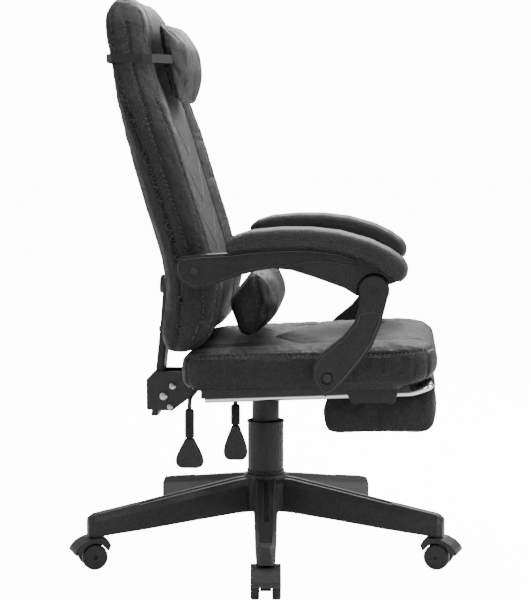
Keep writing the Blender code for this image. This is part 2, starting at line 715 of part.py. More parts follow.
def pad_ring(z):
    """A level slice of the front upholstery: flat rear, side bolsters and a recessed centre."""
    half = lookup(BACK_HALF_WIDTH, z)
    crest = lookup(BACK_FRONT, z)
    rim = min(lookup(BACK_SEAM, z) + GAP, crest - 0.010)
    slot = min(lookup(BACK_SEAM, z) + BOARD_SLOT, crest - 0.010) if BOARD_LOW <= z <= BOARD_HIGH else rim
    centre = crest - lookup(BACK_RECESS, z)
    depth = crest - rim
    wall = (half - BOARD_EDGE + 0.0015) / half
    right = [(0.45, slot), (wall, slot), (wall + 0.0005, rim), (0.985, rim), (1.0, rim + 0.15 * depth),
             (1.0, crest - 0.42 * depth), (0.975, crest - 0.16 * depth), (0.92, crest - 0.03 * depth),
             (0.85, crest),
             (0.76, 0.5 * (crest + centre)), (0.62, centre)]
    share = [(0.0, slot)] + right + [(0.30, centre)]
    ring = [(half * part, forward) for part, forward in share] + [(0.0, centre)]
    ring += [(-x, forward) for x, forward in ring[-2:0:-1]]
    return [point(x, forward, z) for x, forward in ring]


def cover_ring(z):
    """A level slice of the rear panel, thin at its rounded edges."""
    half = lookup(BACK_HALF_WIDTH, z) - 0.001
    rear = lookup(BACK_REAR, z)
    seam = lookup(BACK_SEAM, z)
    depth = seam - rear
    shape = [(0.0, seam), (0.5, seam), (0.985, seam), (1.0, seam - 0.25 * depth),
             (0.99, rear + 0.30 * depth),
             (0.94, rear + 0.06 * depth), (0.80, rear), (0.40, rear - 0.003), (0.0, rear - 0.004)]
    ring = [(half * part, forward) for part, forward in shape]
    ring += [(-x, forward) for x, forward in ring[-2:0:-1]]
    return [point(x, forward, z) for x, forward in ring]


def build_backrest():
    """The rear panel, the board inside and the front upholstery."""
    pivot = (0, *RECLINE_PIVOT)
    settle(loft("backrest_pad", [pad_ring(z) for z in BACK_LEVELS], "black_leather", 50), pivot)
    cover = loft("back_cover", [cover_ring(z) for z in BACK_LEVELS if z <= COVER_TOP], "black_leather", 50)
    for z in BOSS_HEIGHTS:
        hole = rod("hole", point(0, -0.22, z), point(0, -0.12, z), 0.010 + GAP, None, 16)
        combine(cover, [hole], "DIFFERENCE")
    settle(cover, pivot)
    rings = []
    for z in [level for level in BACK_LEVELS if BOARD_LOW <= level <= BOARD_HIGH]:
        half = lookup(BACK_HALF_WIDTH, z) - BOARD_EDGE
        rear = lookup(BACK_SEAM, z) + 0.0010
        front = lookup(BACK_SEAM, z) + BOARD_SLOT - 0.0010
        rings.append([point(x, forward, z) for x, forward in
                      ((-half, rear), (0, rear), (half, rear), (half, front), (0, front), (-half, front))])
    settle(loft("back_board", rings, "plywood"), pivot)


def pillow(name, profile, sections, material_name, bow=0.0):
    """A pillow lofted across x from a side profile; its ends shrink and its front bows back."""
    centre_f = sum(f for f, z in profile) / len(profile)
    centre_z = sum(z for f, z in profile) / len(profile)
    rear = min(f for f, z in profile)
    depth = max(f for f, z in profile) - rear
    rings = []
    for x, scale in sections:
        ring = []
        for f, z in profile:
            forward = centre_f + (f - centre_f) * scale - bow * x * x * (f - rear) / depth
            ring.append(point(x, forward, centre_z + (z - centre_z) * scale))
        rings.append(ring)
    return settle(loft(name, rings, material_name, 60), (0, *RECLINE_PIVOT))


def build_pillows():
    """The neck pillow with its strap and the lumbar pillow."""
    neck = rounded([(-0.1980, 1.053, 0.008), (-0.170, 1.042, 0.03), (-0.138, 1.000, 0.04),
                    (-0.131, 0.950, 0.04), (-0.141, 0.890, 0.010), (-0.160, 0.905, 0.03),
                    (-0.180, 0.960, 0.06)], 3)
    pillow("head_pillow", neck, ((-0.145, 0.55), (-0.138, 0.86), (-0.110, 0.97), (0.0, 1.0),
                                 (0.110, 0.97), (0.138, 0.86), (0.145, 0.55)), "black_leather", 0.8)
    lumbar = rounded([(-0.064, 0.520, 0.03), (-0.012, 0.586, 0.02), (0.018, 0.570, 0.03),
                      (0.034, 0.526, 0.04),
                      (0.016, 0.486, 0.04), (-0.020, 0.4515, 0.01), (-0.040, 0.4560, 0.012)], 3)
    pillow("lumbar_pillow", lumbar, ((-0.165, 0.55), (-0.156, 0.88), (-0.120, 0.98), (0.0, 1.02),
                                     (0.120, 0.98), (0.156, 0.88), (0.165, 0.55)), "black_leather")
    low = 0.969
    high = 0.985
    half = lookup(BACK_HALF_WIDTH, low) + 0.0032
    rear = lookup(BACK_REAR, low) - 0.0095
    right = [(0.1475, -0.166), (half - 0.009, -0.197), (half, -0.212), (half, rear + 0.012),
             (half - 0.012, rear + 0.002), (half * 0.5, rear), (0.0, rear)]
    path = right + [(-x, forward) for x, forward in right[-2::-1]]
    thick = 0.0014
    outer = offset_line(path, thick)
    loop = path + outer[::-1]
    strap = loft("head_strap", [[point(x, forward, z) for x, forward in loop] for z in (low, high)],
                 "black_fabric")
    settle(strap, (0, *RECLINE_PIVOT))


def offset_line(path, distance):
    """An open plan line moved away from the backrest's middle."""
    moved = []
    for index, place in enumerate(path):
        before = Vector(path[max(index - 1, 0)])
        after = Vector(path[min(index + 1, len(path) - 1)])
        run = (after - before).normalized()
        moved.append((place[0] - run.y * distance, place[1] + run.x * distance))
    return moved


# ---------------------------------------------------------------- armrests

def arm_outline():
    """The upper link: a rear lobe, a slim bar and the knuckle's round end."""
    under = [(0.165, 0.5600), (0.148, 0.5665), (0.110, 0.5800), (0.068, 0.5930), (0.034, 0.5960),
             (0.005, 0.5915), (-0.026, 0.5830), (-0.057, 0.5720), (-0.086, 0.5620)]
    lobe = [(-0.111, 0.5590), (-0.132, 0.5680), (-0.1430, 0.5850), (-0.1440, 0.6010)]
    tip = arc(ARM_KNUCKLE, KNUCKLE_RADIUS, 20, -150, 8)
    return ARM_TOP + tip + under + lobe


def strut_outline():
    """The lower link: a bowed strut from the knuckle to the seat side."""
    outer = [(0.2300, 0.497), (0.2150, 0.458), (0.1920, 0.425), (0.1650, 0.392), (0.1440, 0.3720)]
    foot = [(0.1300, 0.3630), (0.1180, 0.3730), (0.1070, 0.3950), (0.1070, 0.4140), (0.1140, 0.4320)]
    inner = [(0.1300, 0.4480), (0.1610, 0.4730), (0.1820, 0.4990), (0.1900, 0.5250)]
    head = arc(ARM_KNUCKLE, KNUCKLE_RADIUS, 200, -28, 12)
    return head + outer + foot + inner


def arm_pad_outline():
    """Side outline of the soft pad, resting on the upper link."""
    under = [(forward, z + 0.0006) for forward, z in ARM_TOP[2:]]
    nose = [(0.2660, 0.5725), (0.2770, 0.5850), (0.2795, 0.5990), (0.2710, 0.6140)]
    crown = [(0.2460, 0.6320), (0.2100, 0.6490), (0.1560, 0.6640), (0.1030, 0.6700), (0.0490, 0.6700),
             (-0.0050, 0.6650), (-0.0370, 0.6550), (-0.0520, 0.6420)]
    return under + nose + crown


def build_arm(name, side):
    """One armrest: upper link, pad, strut and knuckle."""
    def span(low, high):
        return sorted((side * low, side * high))

    def hole(place, radius, low, high):
        return cross_rod("hole", *span(low, high), place, radius, None, 16)

    upper = side_slab("arm_upper_" + name, arm_outline(), *span(ARM_INNER, ARM_OUTER), "dark_plastic")
    combine(upper, [hole(ARM_KNUCKLE, KNUCKLE_RADIUS + RELIEF, LAP_PLANE - GAP, 0.32),
                    hole(ARM_KNUCKLE, 0.0060 + GAP, 0.25, 0.32),
                    hole(ARM_REAR_PIVOT, 0.0040 + GAP, 0.25, 0.32),
                    hole(ARM_REAR_PIVOT, 0.0090, 0.2915, 0.32)], "DIFFERENCE")
    settle(upper, (side * ARM_INNER, *ARM_REAR_PIVOT))
    lower = side_slab("arm_lower_" + name, strut_outline(), *span(ARM_INNER, STRUT_OUTER), "dark_plastic")
    combine(lower, [hole(ARM_KNUCKLE, KNUCKLE_RADIUS + RELIEF, 0.25, LAP_PLANE),
                    hole(ARM_KNUCKLE, 0.0060 + GAP, 0.25, 0.32),
                    hole(ARM_FRONT_PIVOT, 0.0082, 0.25, 0.32),
                    hole(ARM_FRONT_PIVOT, 0.0122, 0.2955, 0.32)], "DIFFERENCE")
    settle(lower, (side * ARM_INNER, *ARM_KNUCKLE))
    pin = cross_rod("arm_knuckle_" + name, *span(0.2650, STRUT_OUTER + 0.001), ARM_KNUCKLE, 0.0060,
                    "dark_plastic", 16)
    flange = cross_rod("flange", *span(0.2630, ARM_INNER - GAP), ARM_KNUCKLE, 0.0100, None, 16)
    cap = cross_rod("cap", *span(STRUT_OUTER + GAP, STRUT_OUTER + 0.0040), ARM_KNUCKLE, 0.0262, None, 24)
    combine(pin, [flange, cap], "UNION")
    dimple = cross_rod("dimple", *span(STRUT_OUTER + 0.0025, STRUT_OUTER + 0.01), ARM_KNUCKLE, 0.0055,
                       None, 16)
    combine(pin, [dimple], "DIFFERENCE")
    settle(pin, (side * ARM_INNER, *ARM_KNUCKLE))
    outline = arm_pad_outline()
    sections = ((0.2360, 0.0080), (0.2400, 0.0030), (0.2520, 0.0), (0.3060, 0.0), (0.3180, 0.0030),
                (0.3220, 0.0080))
    rings = []
    for x, shrink in sections:
        ring = outline if shrink == 0 else inset(outline, shrink)
        rings.append([point(side * x, forward, z) for forward, z in ring])
    settle(loft("arm_pad_" + name, rings, "black_leather", 60), (side * ARM_INNER, *ARM_REAR_PIVOT))


def arm_bolt(name, side, place, seat_side, head_radius, head_low, pivot):
    """A shouldered bolt through an armrest link."""
    shank = cross_rod(name, *sorted((side * seat_side, side * (head_low + 0.001))), place, 0.0036,
                      "black_steel", 14)
    bush = cross_rod("bush", *sorted((side * seat_side, side * (ARM_INNER - 0.0005))), place, 0.0095,
                     None, 14)
    head = cross_rod("head", *sorted((side * head_low, side * (head_low + 0.0030))), place, head_radius,
                     None, 14)
    settle(combine(shank, [bush, head], "UNION"), pivot)


# ---------------------------------------------------------------- footrest

def rail_height(forward):
    """Height of the rail's centre line."""
    return RAIL_REAR[1] + RAIL_SLOPE * (forward - RAIL_REAR[0])


def build_rails():
    """The channels and the guides that carry the footrest frame."""
    for name, side in (("right", -1), ("left", 1)):
        def span(low, high):
            return sorted((side * low, side * high))

        outline = [(-0.108, rail_height(-0.108) + CHANNEL_LIP), (0.284, rail_height(0.284) + CHANNEL_LIP),
                   (0.284, seat_underside(0.284) - GAP), (-0.108, seat_underside(-0.108) - GAP)]
        channel = side_slab("rail_channel_" + name, outline, *span(RAIL_X - 0.009, RAIL_X + 0.009),
                            "black_steel")
        groove = rod("groove", point(side * RAIL_X, -0.13, rail_height(-0.13)),
                     point(side * RAIL_X, 0.31, rail_height(0.31)), RAIL_RADIUS + 0.0006, None, 24)
        combine(channel, [groove], "DIFFERENCE")
        settle(channel)
        outline = [(0.160, seat_underside(0.160) - GAP), (0.265, seat_underside(0.265) - GAP),
                   (0.256, 0.3405),
                   (0.246, 0.3365), (0.240, 0.3395), (0.190, 0.3390), (0.184, 0.3360), (0.174, 0.3400)]
        guide = side_slab("rail_guide_" + name, outline, *span(RAIL_X + 0.0093, RAIL_X + 0.0190),
                          "dark_plastic", 0.001)
        lip_outline = [(0.178, 0.3400), (0.252, 0.3405), (0.250, 0.3452), (0.180, 0.3440)]
        lip = side_slab("lip", lip_outline, *span(RAIL_X - 0.0090, RAIL_X + 0.0150), None)
        settle(combine(guide, [lip], "UNION"))


def build_footrest():
    """The bent chrome tube and the pad that turns on its cross bar."""
    bar_f, bar_z = BAR_CENTRE
    corner_f = 0.288
    right = [point(-RAIL_X, RAIL_REAR[0], RAIL_REAR[1]), point(-RAIL_X, corner_f, rail_height(corner_f)),
             point(-RAIL_X, bar_f, bar_z)]
    left = [Vector((-place.x, place.y, place.z)) for place in right[::-1]]
    corners = list(zip(right + left, (0, 0.05, 0.020, 0.020, 0.05, 0)))
    frame = tube_along("footrest_frame", bent_path(corners, 4), RAIL_RADIUS, "chrome_tube", 10)
    settle(frame)
    sleeve = arc(BAR_CENTRE, 0.0110, 15, 165, 6)
    outline = sleeve + [(0.3085, 0.3520), (0.2980, 0.3460), (0.1300, 0.3385), (0.1230, 0.3300),
                        (0.1220, 0.2860), (0.1280, 0.2745), (0.1400, 0.2710), (0.3140, 0.2745),
                        (0.3260, 0.2810), (0.3310, 0.2920)]
    inner = inset(outline, 0.0035)
    rings = []
    for x, ring in ((-PAD_HALF_WIDTH, inner), (-PAD_HALF_WIDTH + 0.004, outline),
                    (PAD_HALF_WIDTH - 0.004, outline), (PAD_HALF_WIDTH, inner)):
        rings.append([point(x, forward, z) for forward, z in ring])
    pad = loft("footrest_pad", rings, "black_leather", 50)
    combine(pad, [cross_rod("hole", -0.2, 0.2, BAR_CENTRE, RAIL_RADIUS + 0.0006, None, 16)], "DIFFERENCE")
    settle(pad, (0, *BAR_CENTRE))


for old in list(bpy.data.objects):
    bpy.data.objects.remove(old)

chair = bpy.data.objects.new("chair", None)
chair.location = (AXIS_X, AXIS_Y, 0.0)
bpy.context.scene.collection.objects.link(chair)

build_base()
for caster in range(LEG_COUNT):
    build_hood(caster)
    build_wheel(caster, "a", -1)
    build_wheel(caster, "b", 1)
build_column()
build_seat()
build_mechanism()
build_lever("recline", -0.0450, -0.2200, -0.127, 0.3450, 0.2720, 0.2140, 0.0260)
build_lever("height", -0.0450, -0.1550, -0.0465, 0.3450, 0.2870, 0.2185, 0.0235)
build_bracket()
build_back_bar()
build_backrest()
build_pillows()
for arm_name, arm_side in (("right", -1), ("left", 1)):
    build_arm(arm_name, arm_side)
    arm_bolt("arm_rear_bolt_" + arm_name, arm_side, ARM_REAR_PIVOT, 0.2520, 0.0082, 0.2918,
             (0, *RECLINE_PIVOT))
    arm_bolt("arm_front_bolt_" + arm_name, arm_side, ARM_FRONT_PIVOT, 0.2506, 0.0078, 0.2958, (0, 0, 0))
build_rails()
build_footrest()
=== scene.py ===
"""Looks of the gaming chair: materials, upholstery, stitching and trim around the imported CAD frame.

Chair points are (x, forward, z) in metres from the column's axis; at() turns them into the row frame.
"""

import json
import math

import bmesh
import bpy
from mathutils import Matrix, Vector, noise
from mathutils.bvhtree import BVHTree
from mathutils.kdtree import KDTree


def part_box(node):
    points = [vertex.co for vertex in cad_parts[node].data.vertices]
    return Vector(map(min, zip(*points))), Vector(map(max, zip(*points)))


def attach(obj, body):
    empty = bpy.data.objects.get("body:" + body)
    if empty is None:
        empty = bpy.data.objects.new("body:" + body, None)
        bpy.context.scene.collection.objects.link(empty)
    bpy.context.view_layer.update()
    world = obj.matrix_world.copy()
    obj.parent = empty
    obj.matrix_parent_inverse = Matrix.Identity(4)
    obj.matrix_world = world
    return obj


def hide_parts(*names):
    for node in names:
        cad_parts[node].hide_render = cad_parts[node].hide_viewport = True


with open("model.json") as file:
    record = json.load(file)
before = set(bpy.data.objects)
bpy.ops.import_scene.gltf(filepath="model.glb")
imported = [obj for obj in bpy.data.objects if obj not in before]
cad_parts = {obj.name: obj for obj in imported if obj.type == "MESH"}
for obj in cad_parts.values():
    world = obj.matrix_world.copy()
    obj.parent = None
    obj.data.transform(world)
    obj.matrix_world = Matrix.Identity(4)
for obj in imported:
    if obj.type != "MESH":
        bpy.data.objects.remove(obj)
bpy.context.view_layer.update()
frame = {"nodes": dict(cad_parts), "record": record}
NODES = frame["nodes"]

AXIS_X = 0.0235
AXIS_Y = 0.0070


def at(x, forward, z):
    """A chair point in the row frame."""
    return Vector((x + AXIS_X, AXIS_Y - forward, z))


# ---------------------------------------------------------------- materials

def new_material(name):
    """An empty node material with its shader, output and object coordinates."""
    made = bpy.data.materials.new(name)
    made.use_nodes = True
    tree = made.node_tree
    shader = tree.nodes["Principled BSDF"]
    coords = tree.nodes.new("ShaderNodeTexCoord").outputs["Object"]
    return made, tree, shader, coords


def noise_node(tree, coords, scale, detail=3.0, roughness=0.55):
    """Noise in object space."""
    node = tree.nodes.new("ShaderNodeTexNoise")
    node.inputs["Scale"].default_value = scale
    node.inputs["Detail"].default_value = detail
    node.inputs["Roughness"].default_value = roughness
    tree.links.new(coords, node.inputs["Vector"])
    return node.outputs["Fac"]


def cells(tree, coords, scale, feature="DISTANCE_TO_EDGE"):
    """Voronoi cells in object space."""
    node = tree.nodes.new("ShaderNodeTexVoronoi")
    node.feature = feature
    node.inputs["Scale"].default_value = scale
    tree.links.new(coords, node.inputs["Vector"])
    return node.outputs["Distance"]


def remap(tree, value, low, high, out_low, out_high):
    """A value moved from one range to another."""
    node = tree.nodes.new("ShaderNodeMapRange")
    for slot, number in zip((1, 2, 3, 4), (low, high, out_low, out_high)):
        node.inputs[slot].default_value = number
    tree.links.new(value, node.inputs[0])
    return node.outputs[0]


def combine(tree, operation, first, second):
    """Two values, or a value and a number, put together."""
    node = tree.nodes.new("ShaderNodeMath")
    node.operation = operation
    for slot, value in enumerate((first, second)):
        if isinstance(value, (int, float)):
            node.inputs[slot].default_value = value
        else:
            tree.links.new(value, node.inputs[slot])
    return node.outputs[0]


def tint(tree, share, dark, light):
    """A colour between two, by a share."""
    node = tree.nodes.new("ShaderNodeMix")
    node.data_type = "RGBA"
    node.inputs[6].default_value = (*dark, 1.0)
    node.inputs[7].default_value = (*light, 1.0)
    tree.links.new(share, node.inputs[0])
    return node.outputs[2]


def bump(tree, shader, height, distance, strength=1.0, under=None):
    """Relief on the shader's normal."""
    node = tree.nodes.new("ShaderNodeBump")
    node.inputs["Strength"].default_value = strength
    node.inputs["Distance"].default_value = distance
    tree.links.new(height, node.inputs["Height"])
    if under is not None:
        tree.links.new(under, node.inputs["Normal"])
    tree.links.new(node.outputs["Normal"], shader.inputs["Normal"])
    return node.outputs["Normal"]


def edge_wear(tree, start, end):
    """Share of wear, rising on sharp outer edges."""
    node = tree.nodes.new("ShaderNodeNewGeometry")
    return remap(tree, node.outputs["Pointiness"], start, end, 0.0, 1.0)


def leather(name, dark, light, roughness, grain=1.0, shine=0.30):
    """Pebbled synthetic leather with creases, uneven sheen and rubbed edges."""
    made, tree, shader, coords = new_material(name)
    broad = noise_node(tree, coords, 9.0, 4.0)
    mottle = noise_node(tree, coords, 420.0, 3.0, 0.62)
    share = combine(tree, "MULTIPLY", remap(tree, broad, 0.3, 0.7, 0.40, 0.85),
                    remap(tree, mottle, 0.35, 0.65, 0.55, 1.0))
    share = combine(tree, "MAXIMUM", share, combine(tree, "MULTIPLY", edge_wear(tree, 0.54, 0.62), 0.9))
    tree.links.new(tint(tree, share, dark, light), shader.inputs["Base Color"])
    rough = combine(tree, "ADD", remap(tree, mottle, 0.3, 0.7, roughness + 0.10, roughness - 0.08),
                    remap(tree, broad, 0.3, 0.7, -0.04, 0.05))
    tree.links.new(rough, shader.inputs["Roughness"])
    tree.links.new(remap(tree, mottle, 0.35, 0.65, shine * 0.75, shine * 1.30),
                   shader.inputs["Specular IOR Level"])
    shader.inputs["Sheen Weight"].default_value = 0.05
    shader.inputs["Sheen Roughness"].default_value = 0.4
    pebbles = remap(tree, cells(tree, coords, 720.0), 0.0, 0.35, 0.0, 1.0)
    first = bump(tree, shader, pebbles, 0.00035 * grain)
    second = bump(tree, shader, noise_node(tree, coords, 190.0, 4.0, 0.65), 0.0011 * grain, 1.0, first)
    bump(tree, shader, noise_node(tree, coords, 34.0, 3.0), 0.0036 * grain, 0.6, second)
    return made


def plastic(name, dark, light, roughness, texture=1.0, shine=0.34):
    """Moulded plastic with a spark-eroded texture and scuffed edges."""
    made, tree, shader, coords = new_material(name)
    broad = noise_node(tree, coords, 14.0, 3.0)
    speck = noise_node(tree, coords, 260.0, 3.0, 0.7)
    fine = noise_node(tree, coords, 900.0, 2.0, 0.6)
    share = combine(tree, "ADD", remap(tree, broad, 0.3, 0.75, 0.0, 0.5),
                    remap(tree, speck, 0.4, 0.65, 0.0, 0.18))
    share = combine(tree, "MAXIMUM", share, combine(tree, "MULTIPLY", edge_wear(tree, 0.55, 0.64), 0.8))
    tree.links.new(tint(tree, share, dark, light), shader.inputs["Base Color"])
    rough = combine(tree, "ADD", remap(tree, fine, 0.3, 0.7, roughness - 0.05, roughness + 0.07),
                    remap(tree, broad, 0.3, 0.7, -0.05, 0.05))
    tree.links.new(rough, shader.inputs["Roughness"])
    tree.links.new(remap(tree, speck, 0.35, 0.65, shine * 0.85, shine * 1.2),
                   shader.inputs["Specular IOR Level"])
    bump(tree, shader, fine, 0.00025 * texture)
    return made


def metal(name, dark, light, roughness, metallic, scratch=1.0):
    """Coated or bare metal with faint handling marks."""
    made, tree, shader, coords = new_material(name)
    broad = noise_node(tree, coords, 22.0, 3.0)
    fine = noise_node(tree, coords, 700.0, 3.0, 0.6)
    tree.links.new(tint(tree, remap(tree, broad, 0.3, 0.7, 0.0, 1.0), dark, light), shader.inputs["Base Color"])
    rough = combine(tree, "ADD", remap(tree, broad, 0.3, 0.7, roughness - 0.02, roughness + 0.04 * scratch),
                    remap(tree, fine, 0.3, 0.7, 0.0, 0.03 * scratch))
    tree.links.new(rough, shader.inputs["Roughness"])
    shader.inputs["Metallic"].default_value = metallic
    bump(tree, shader, fine, 0.00012 * scratch, 0.6)
    return made


def woven(name, dark, light, roughness):
    """Close woven tape."""
    made, tree, shader, coords = new_material(name)
    wave = tree.nodes.new("ShaderNodeTexWave")
    wave.bands_direction = "Z"
    wave.inputs["Scale"].default_value = 190.0
    wave.inputs["Distortion"].default_value = 0.4
    tree.links.new(coords, wave.inputs["Vector"])
    ribs = wave.outputs["Fac"]
    fuzz = noise_node(tree, coords, 600.0, 2.0)
    tree.links.new(tint(tree, combine(tree, "MULTIPLY", ribs, fuzz), dark, light), shader.inputs["Base Color"])
    tree.links.new(remap(tree, fuzz, 0.3, 0.7, roughness - 0.05, roughness + 0.08), shader.inputs["Roughness"])
    shader.inputs["Sheen Weight"].default_value = 0.25
    bump(tree, shader, combine(tree, "ADD", ribs, combine(tree, "MULTIPLY", fuzz, 0.5)), 0.0004)
    return made


def timber(name):
    """Plywood with drawn-out grain."""
    made, tree, shader, coords = new_material(name)
    mapping = tree.nodes.new("ShaderNodeMapping")
    mapping.inputs["Scale"].default_value = (60.0, 4.0, 60.0)
    tree.links.new(coords, mapping.inputs["Vector"])
    grain = noise_node(tree, mapping.outputs["Vector"], 1.0, 5.0)
    tree.links.new(tint(tree, remap(tree, grain, 0.3, 0.7, 0.0, 1.0), (0.24, 0.15, 0.08), (0.46, 0.33, 0.20)),
                   shader.inputs["Base Color"])
    tree.links.new(remap(tree, grain, 0.3, 0.7, 0.6, 0.8), shader.inputs["Roughness"])
    bump(tree, shader, grain, 0.0003)
    return made


LEATHER = leather("leather_body", (0.0034, 0.0034, 0.0038), (0.0145, 0.0145, 0.0156), 0.43, 1.0, 0.32)
LEATHER_DARK = leather("leather_trim", (0.0040, 0.0040, 0.0044), (0.0190, 0.0190, 0.0204), 0.44, 0.8, 0.38)
LEATHER_SOFT = leather("leather_pillow", (0.0050, 0.0050, 0.0055), (0.0200, 0.0200, 0.0214), 0.40, 0.8, 0.34)
THREAD = woven("thread", (0.040, 0.040, 0.042), (0.130, 0.130, 0.134), 0.75)
# Painted highlight: the rim plastic is lighter than the arm's own dark plastic, to show the glossy highlight
# along the raised rims.
RIM_PAINTED_HIGHLIGHT = plastic("plastic_rim_painted_highlight", (0.024, 0.024, 0.025), (0.050, 0.050, 0.052), 0.34)
LOOKS = {
    "black_nylon": plastic("nylon", (0.0110, 0.0110, 0.0118), (0.0290, 0.0290, 0.0308), 0.44),
    "dark_plastic": plastic("plastic", (0.0090, 0.0090, 0.0097), (0.0230, 0.0230, 0.0245), 0.42),
    "insert_rubber": plastic("rubber", (0.005, 0.005, 0.006), (0.012, 0.012, 0.013), 0.66, 1.6),
    "black_steel": metal("powder_coat", (0.008, 0.008, 0.009), (0.020, 0.020, 0.021), 0.42, 0.0, 1.8),
    "chrome_tube": metal("chrome", (0.74, 0.75, 0.77), (0.84, 0.85, 0.86), 0.07, 1.0),
    "bolt_steel": metal("zinc", (0.50, 0.50, 0.52), (0.70, 0.70, 0.72), 0.24, 1.0, 2.0),
    "black_leather": LEATHER,
    "black_fabric": woven("tape", (0.004, 0.004, 0.005), (0.016, 0.016, 0.017), 0.85),
    "plywood": timber("plywood_grain"),
}
SLOT_OF = {entry["node"]: entry["material_slot"] for entry in frame["record"]["subparts"]}


# ---------------------------------------------------------------- mesh helpers

def new_object(name, data, look, smooth_deg=40):
    """An object from a bmesh, shaded smooth, with one material."""
    bmesh.ops.recalc_face_normals(data, faces=data.faces)
    mesh = bpy.data.meshes.new(name)
    data.to_mesh(mesh)
    data.free()
    mesh.shade_smooth()
    mesh.set_sharp_from_angle(angle=math.radians(smooth_deg))
    mesh.materials.append(look)
    made = bpy.data.objects.new(name, mesh)
    bpy.context.scene.collection.objects.link(made)
    return made


def bake(obj):
    """Applies an object's modifiers."""
    graph = bpy.context.evaluated_depsgraph_get()
    mesh = bpy.data.meshes.new_from_object(obj.evaluated_get(graph))
    old = obj.data
    obj.modifiers.clear()
    obj.data = mesh
    bpy.data.meshes.remove(old)
    SEARCH.pop(obj.name, None)
    return obj


def place(obj, body, slot, *replaced):
    """Puts a finished piece on its body and hides the nodes it stands for; the slot argument is not used."""
    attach(obj, body)
    if replaced:
        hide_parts(*replaced)
    return obj


def soft_copy(name, nodes, voxel, smoothing, look):
    """One even, closed skin around some CAD solids."""
    data = bmesh.new()
    for node in nodes:
        data.from_mesh(NODES[node].data)
    made = new_object(name, data, look, 180)
    skin = made.modifiers.new("skin", "REMESH")
    skin.mode = "VOXEL"
    skin.voxel_size = voxel
    bake(made)
    even = made.modifiers.new("even", "SMOOTH")
    even.factor = 0.5
    even.iterations = smoothing
    bake(made)
    made.data.materials.clear()
    made.data.materials.append(look)
    made.data.shade_smooth()
    return made


def dense(points, step=0.003):
    """Points along a polyline at an even step."""
    filled = []
    for first, second in zip(points, points[1:]):
        count = max(1, int((second - first).length / step))
        filled += [first.lerp(second, index / count) for index in range(count)]
    return filled + [points[-1]]


def curved(points, steps=8):
    """A Catmull-Rom line through points."""
    if len(points) < 3:
        return points
    ends = [2 * points[0] - points[1]] + list(points) + [2 * points[-1] - points[-2]]
    line = []
    for a, b, c, d in zip(ends, ends[1:], ends[2:], ends[3:]):
        for step in range(steps):
            t = step / steps
            line.append(0.5 * (2 * b + (c - a) * t + (2 * a - 5 * b + 4 * c - d) * t * t
                               + (3 * b - a - 3 * c + d) * t ** 3))
    return line + [points[-1]]


SEARCH = {}


def search_tree(obj):
    """The skin's search tree, made again only when its shape has changed."""
    if obj.name not in SEARCH:
        mesh = obj.data
        SEARCH[obj.name] = BVHTree.FromPolygons([vertex.co for vertex in mesh.vertices],
                                                [face.vertices for face in mesh.polygons])
    return SEARCH[obj.name]


def line_on(obj, points, toward=None, step=0.0025):
    """A smooth line laid on an object's skin, as (place, normal) pairs."""
    tree = search_tree(obj)
    laid = []
    for point in dense(curved([at(*p) for p in points]), step):
        hit = None
        if toward is not None:
            way = Vector(toward)
            hit = tree.ray_cast(point - way * 0.5, way)
        if hit is None or hit[0] is None:
            hit = tree.find_nearest(point)
        laid.append((hit[0], hit[1]))
    return laid


def mirrored(points):
    """The same line on the other side of the chair."""
    return [(-x, forward, z) for x, forward, z in points]


def pin_to_lines(obj, lines, width):
    """A vertex group that holds the skin at its seams."""
    places = [place for line in lines for place, _ in line]
    tree = KDTree(len(places))
    for index, place_on in enumerate(places):
        tree.insert(place_on, index)
    tree.balance()
    group = obj.vertex_groups.new(name="held")
    for vertex in obj.data.vertices:
        distance = tree.find(vertex.co)[2]
        if distance < width:
            group.add([vertex.index], 1.0, "REPLACE")
    return group


def puff(obj, group, pressure, limit, extra=0.02, frames=20):
    """Fills a skin with pressure between its held seams, moving no point further than limit."""
    rest = [vertex.co.copy() for vertex in obj.data.vertices]
    cloth = obj.modifiers.new("cloth", "CLOTH")
    settings = cloth.settings
    settings.quality = 4
    settings.mass = 0.25
    settings.tension_stiffness = 18
    settings.compression_stiffness = 12
    settings.shear_stiffness = 8
    settings.bending_stiffness = 0.4
    settings.use_pressure = True
    settings.uniform_pressure_force = pressure
    settings.shrink_min = -extra
    settings.effector_weights.gravity = 0
    settings.vertex_group_mass = group.name
    cloth.point_cache.frame_start = 1
    cloth.point_cache.frame_end = frames
    scene = bpy.context.scene
    for number in range(1, frames + 1):
        scene.frame_set(number)
    graph = bpy.context.evaluated_depsgraph_get()
    moved = [vertex.co.copy() for vertex in obj.evaluated_get(graph).data.vertices]
    obj.modifiers.clear()
    for vertex, start, end in zip(obj.data.vertices, rest, moved):
        step = end - start
        if step.length > limit:
            step *= limit / step.length
        vertex.co = start + step
    SEARCH.pop(obj.name, None)
    scene.frame_set(1)
    return obj


def refine(obj, levels=1):
    """Splits a skin's faces for finer relief."""
    split = obj.modifiers.new("split", "SUBSURF")
    split.levels = levels
    split.render_levels = levels
    return bake(obj)


def press(obj, lines, width, depth):
    """Sinks the skin along lines, as a seam pulls it in."""
    places = [place for line in lines for place, _ in line]
    tree = KDTree(len(places))
    for index, place_on in enumerate(places):
        tree.insert(place_on, index)
    tree.balance()
    mesh = obj.data
    normals = [vertex.normal.copy() for vertex in mesh.vertices]
    for vertex, normal in zip(mesh.vertices, normals):
        distance = tree.find(vertex.co)[2]
        if distance < 3 * width:
            vertex.co -= normal * depth * math.exp(-(distance / width) ** 2)
    mesh.update()
    SEARCH.pop(obj.name, None)


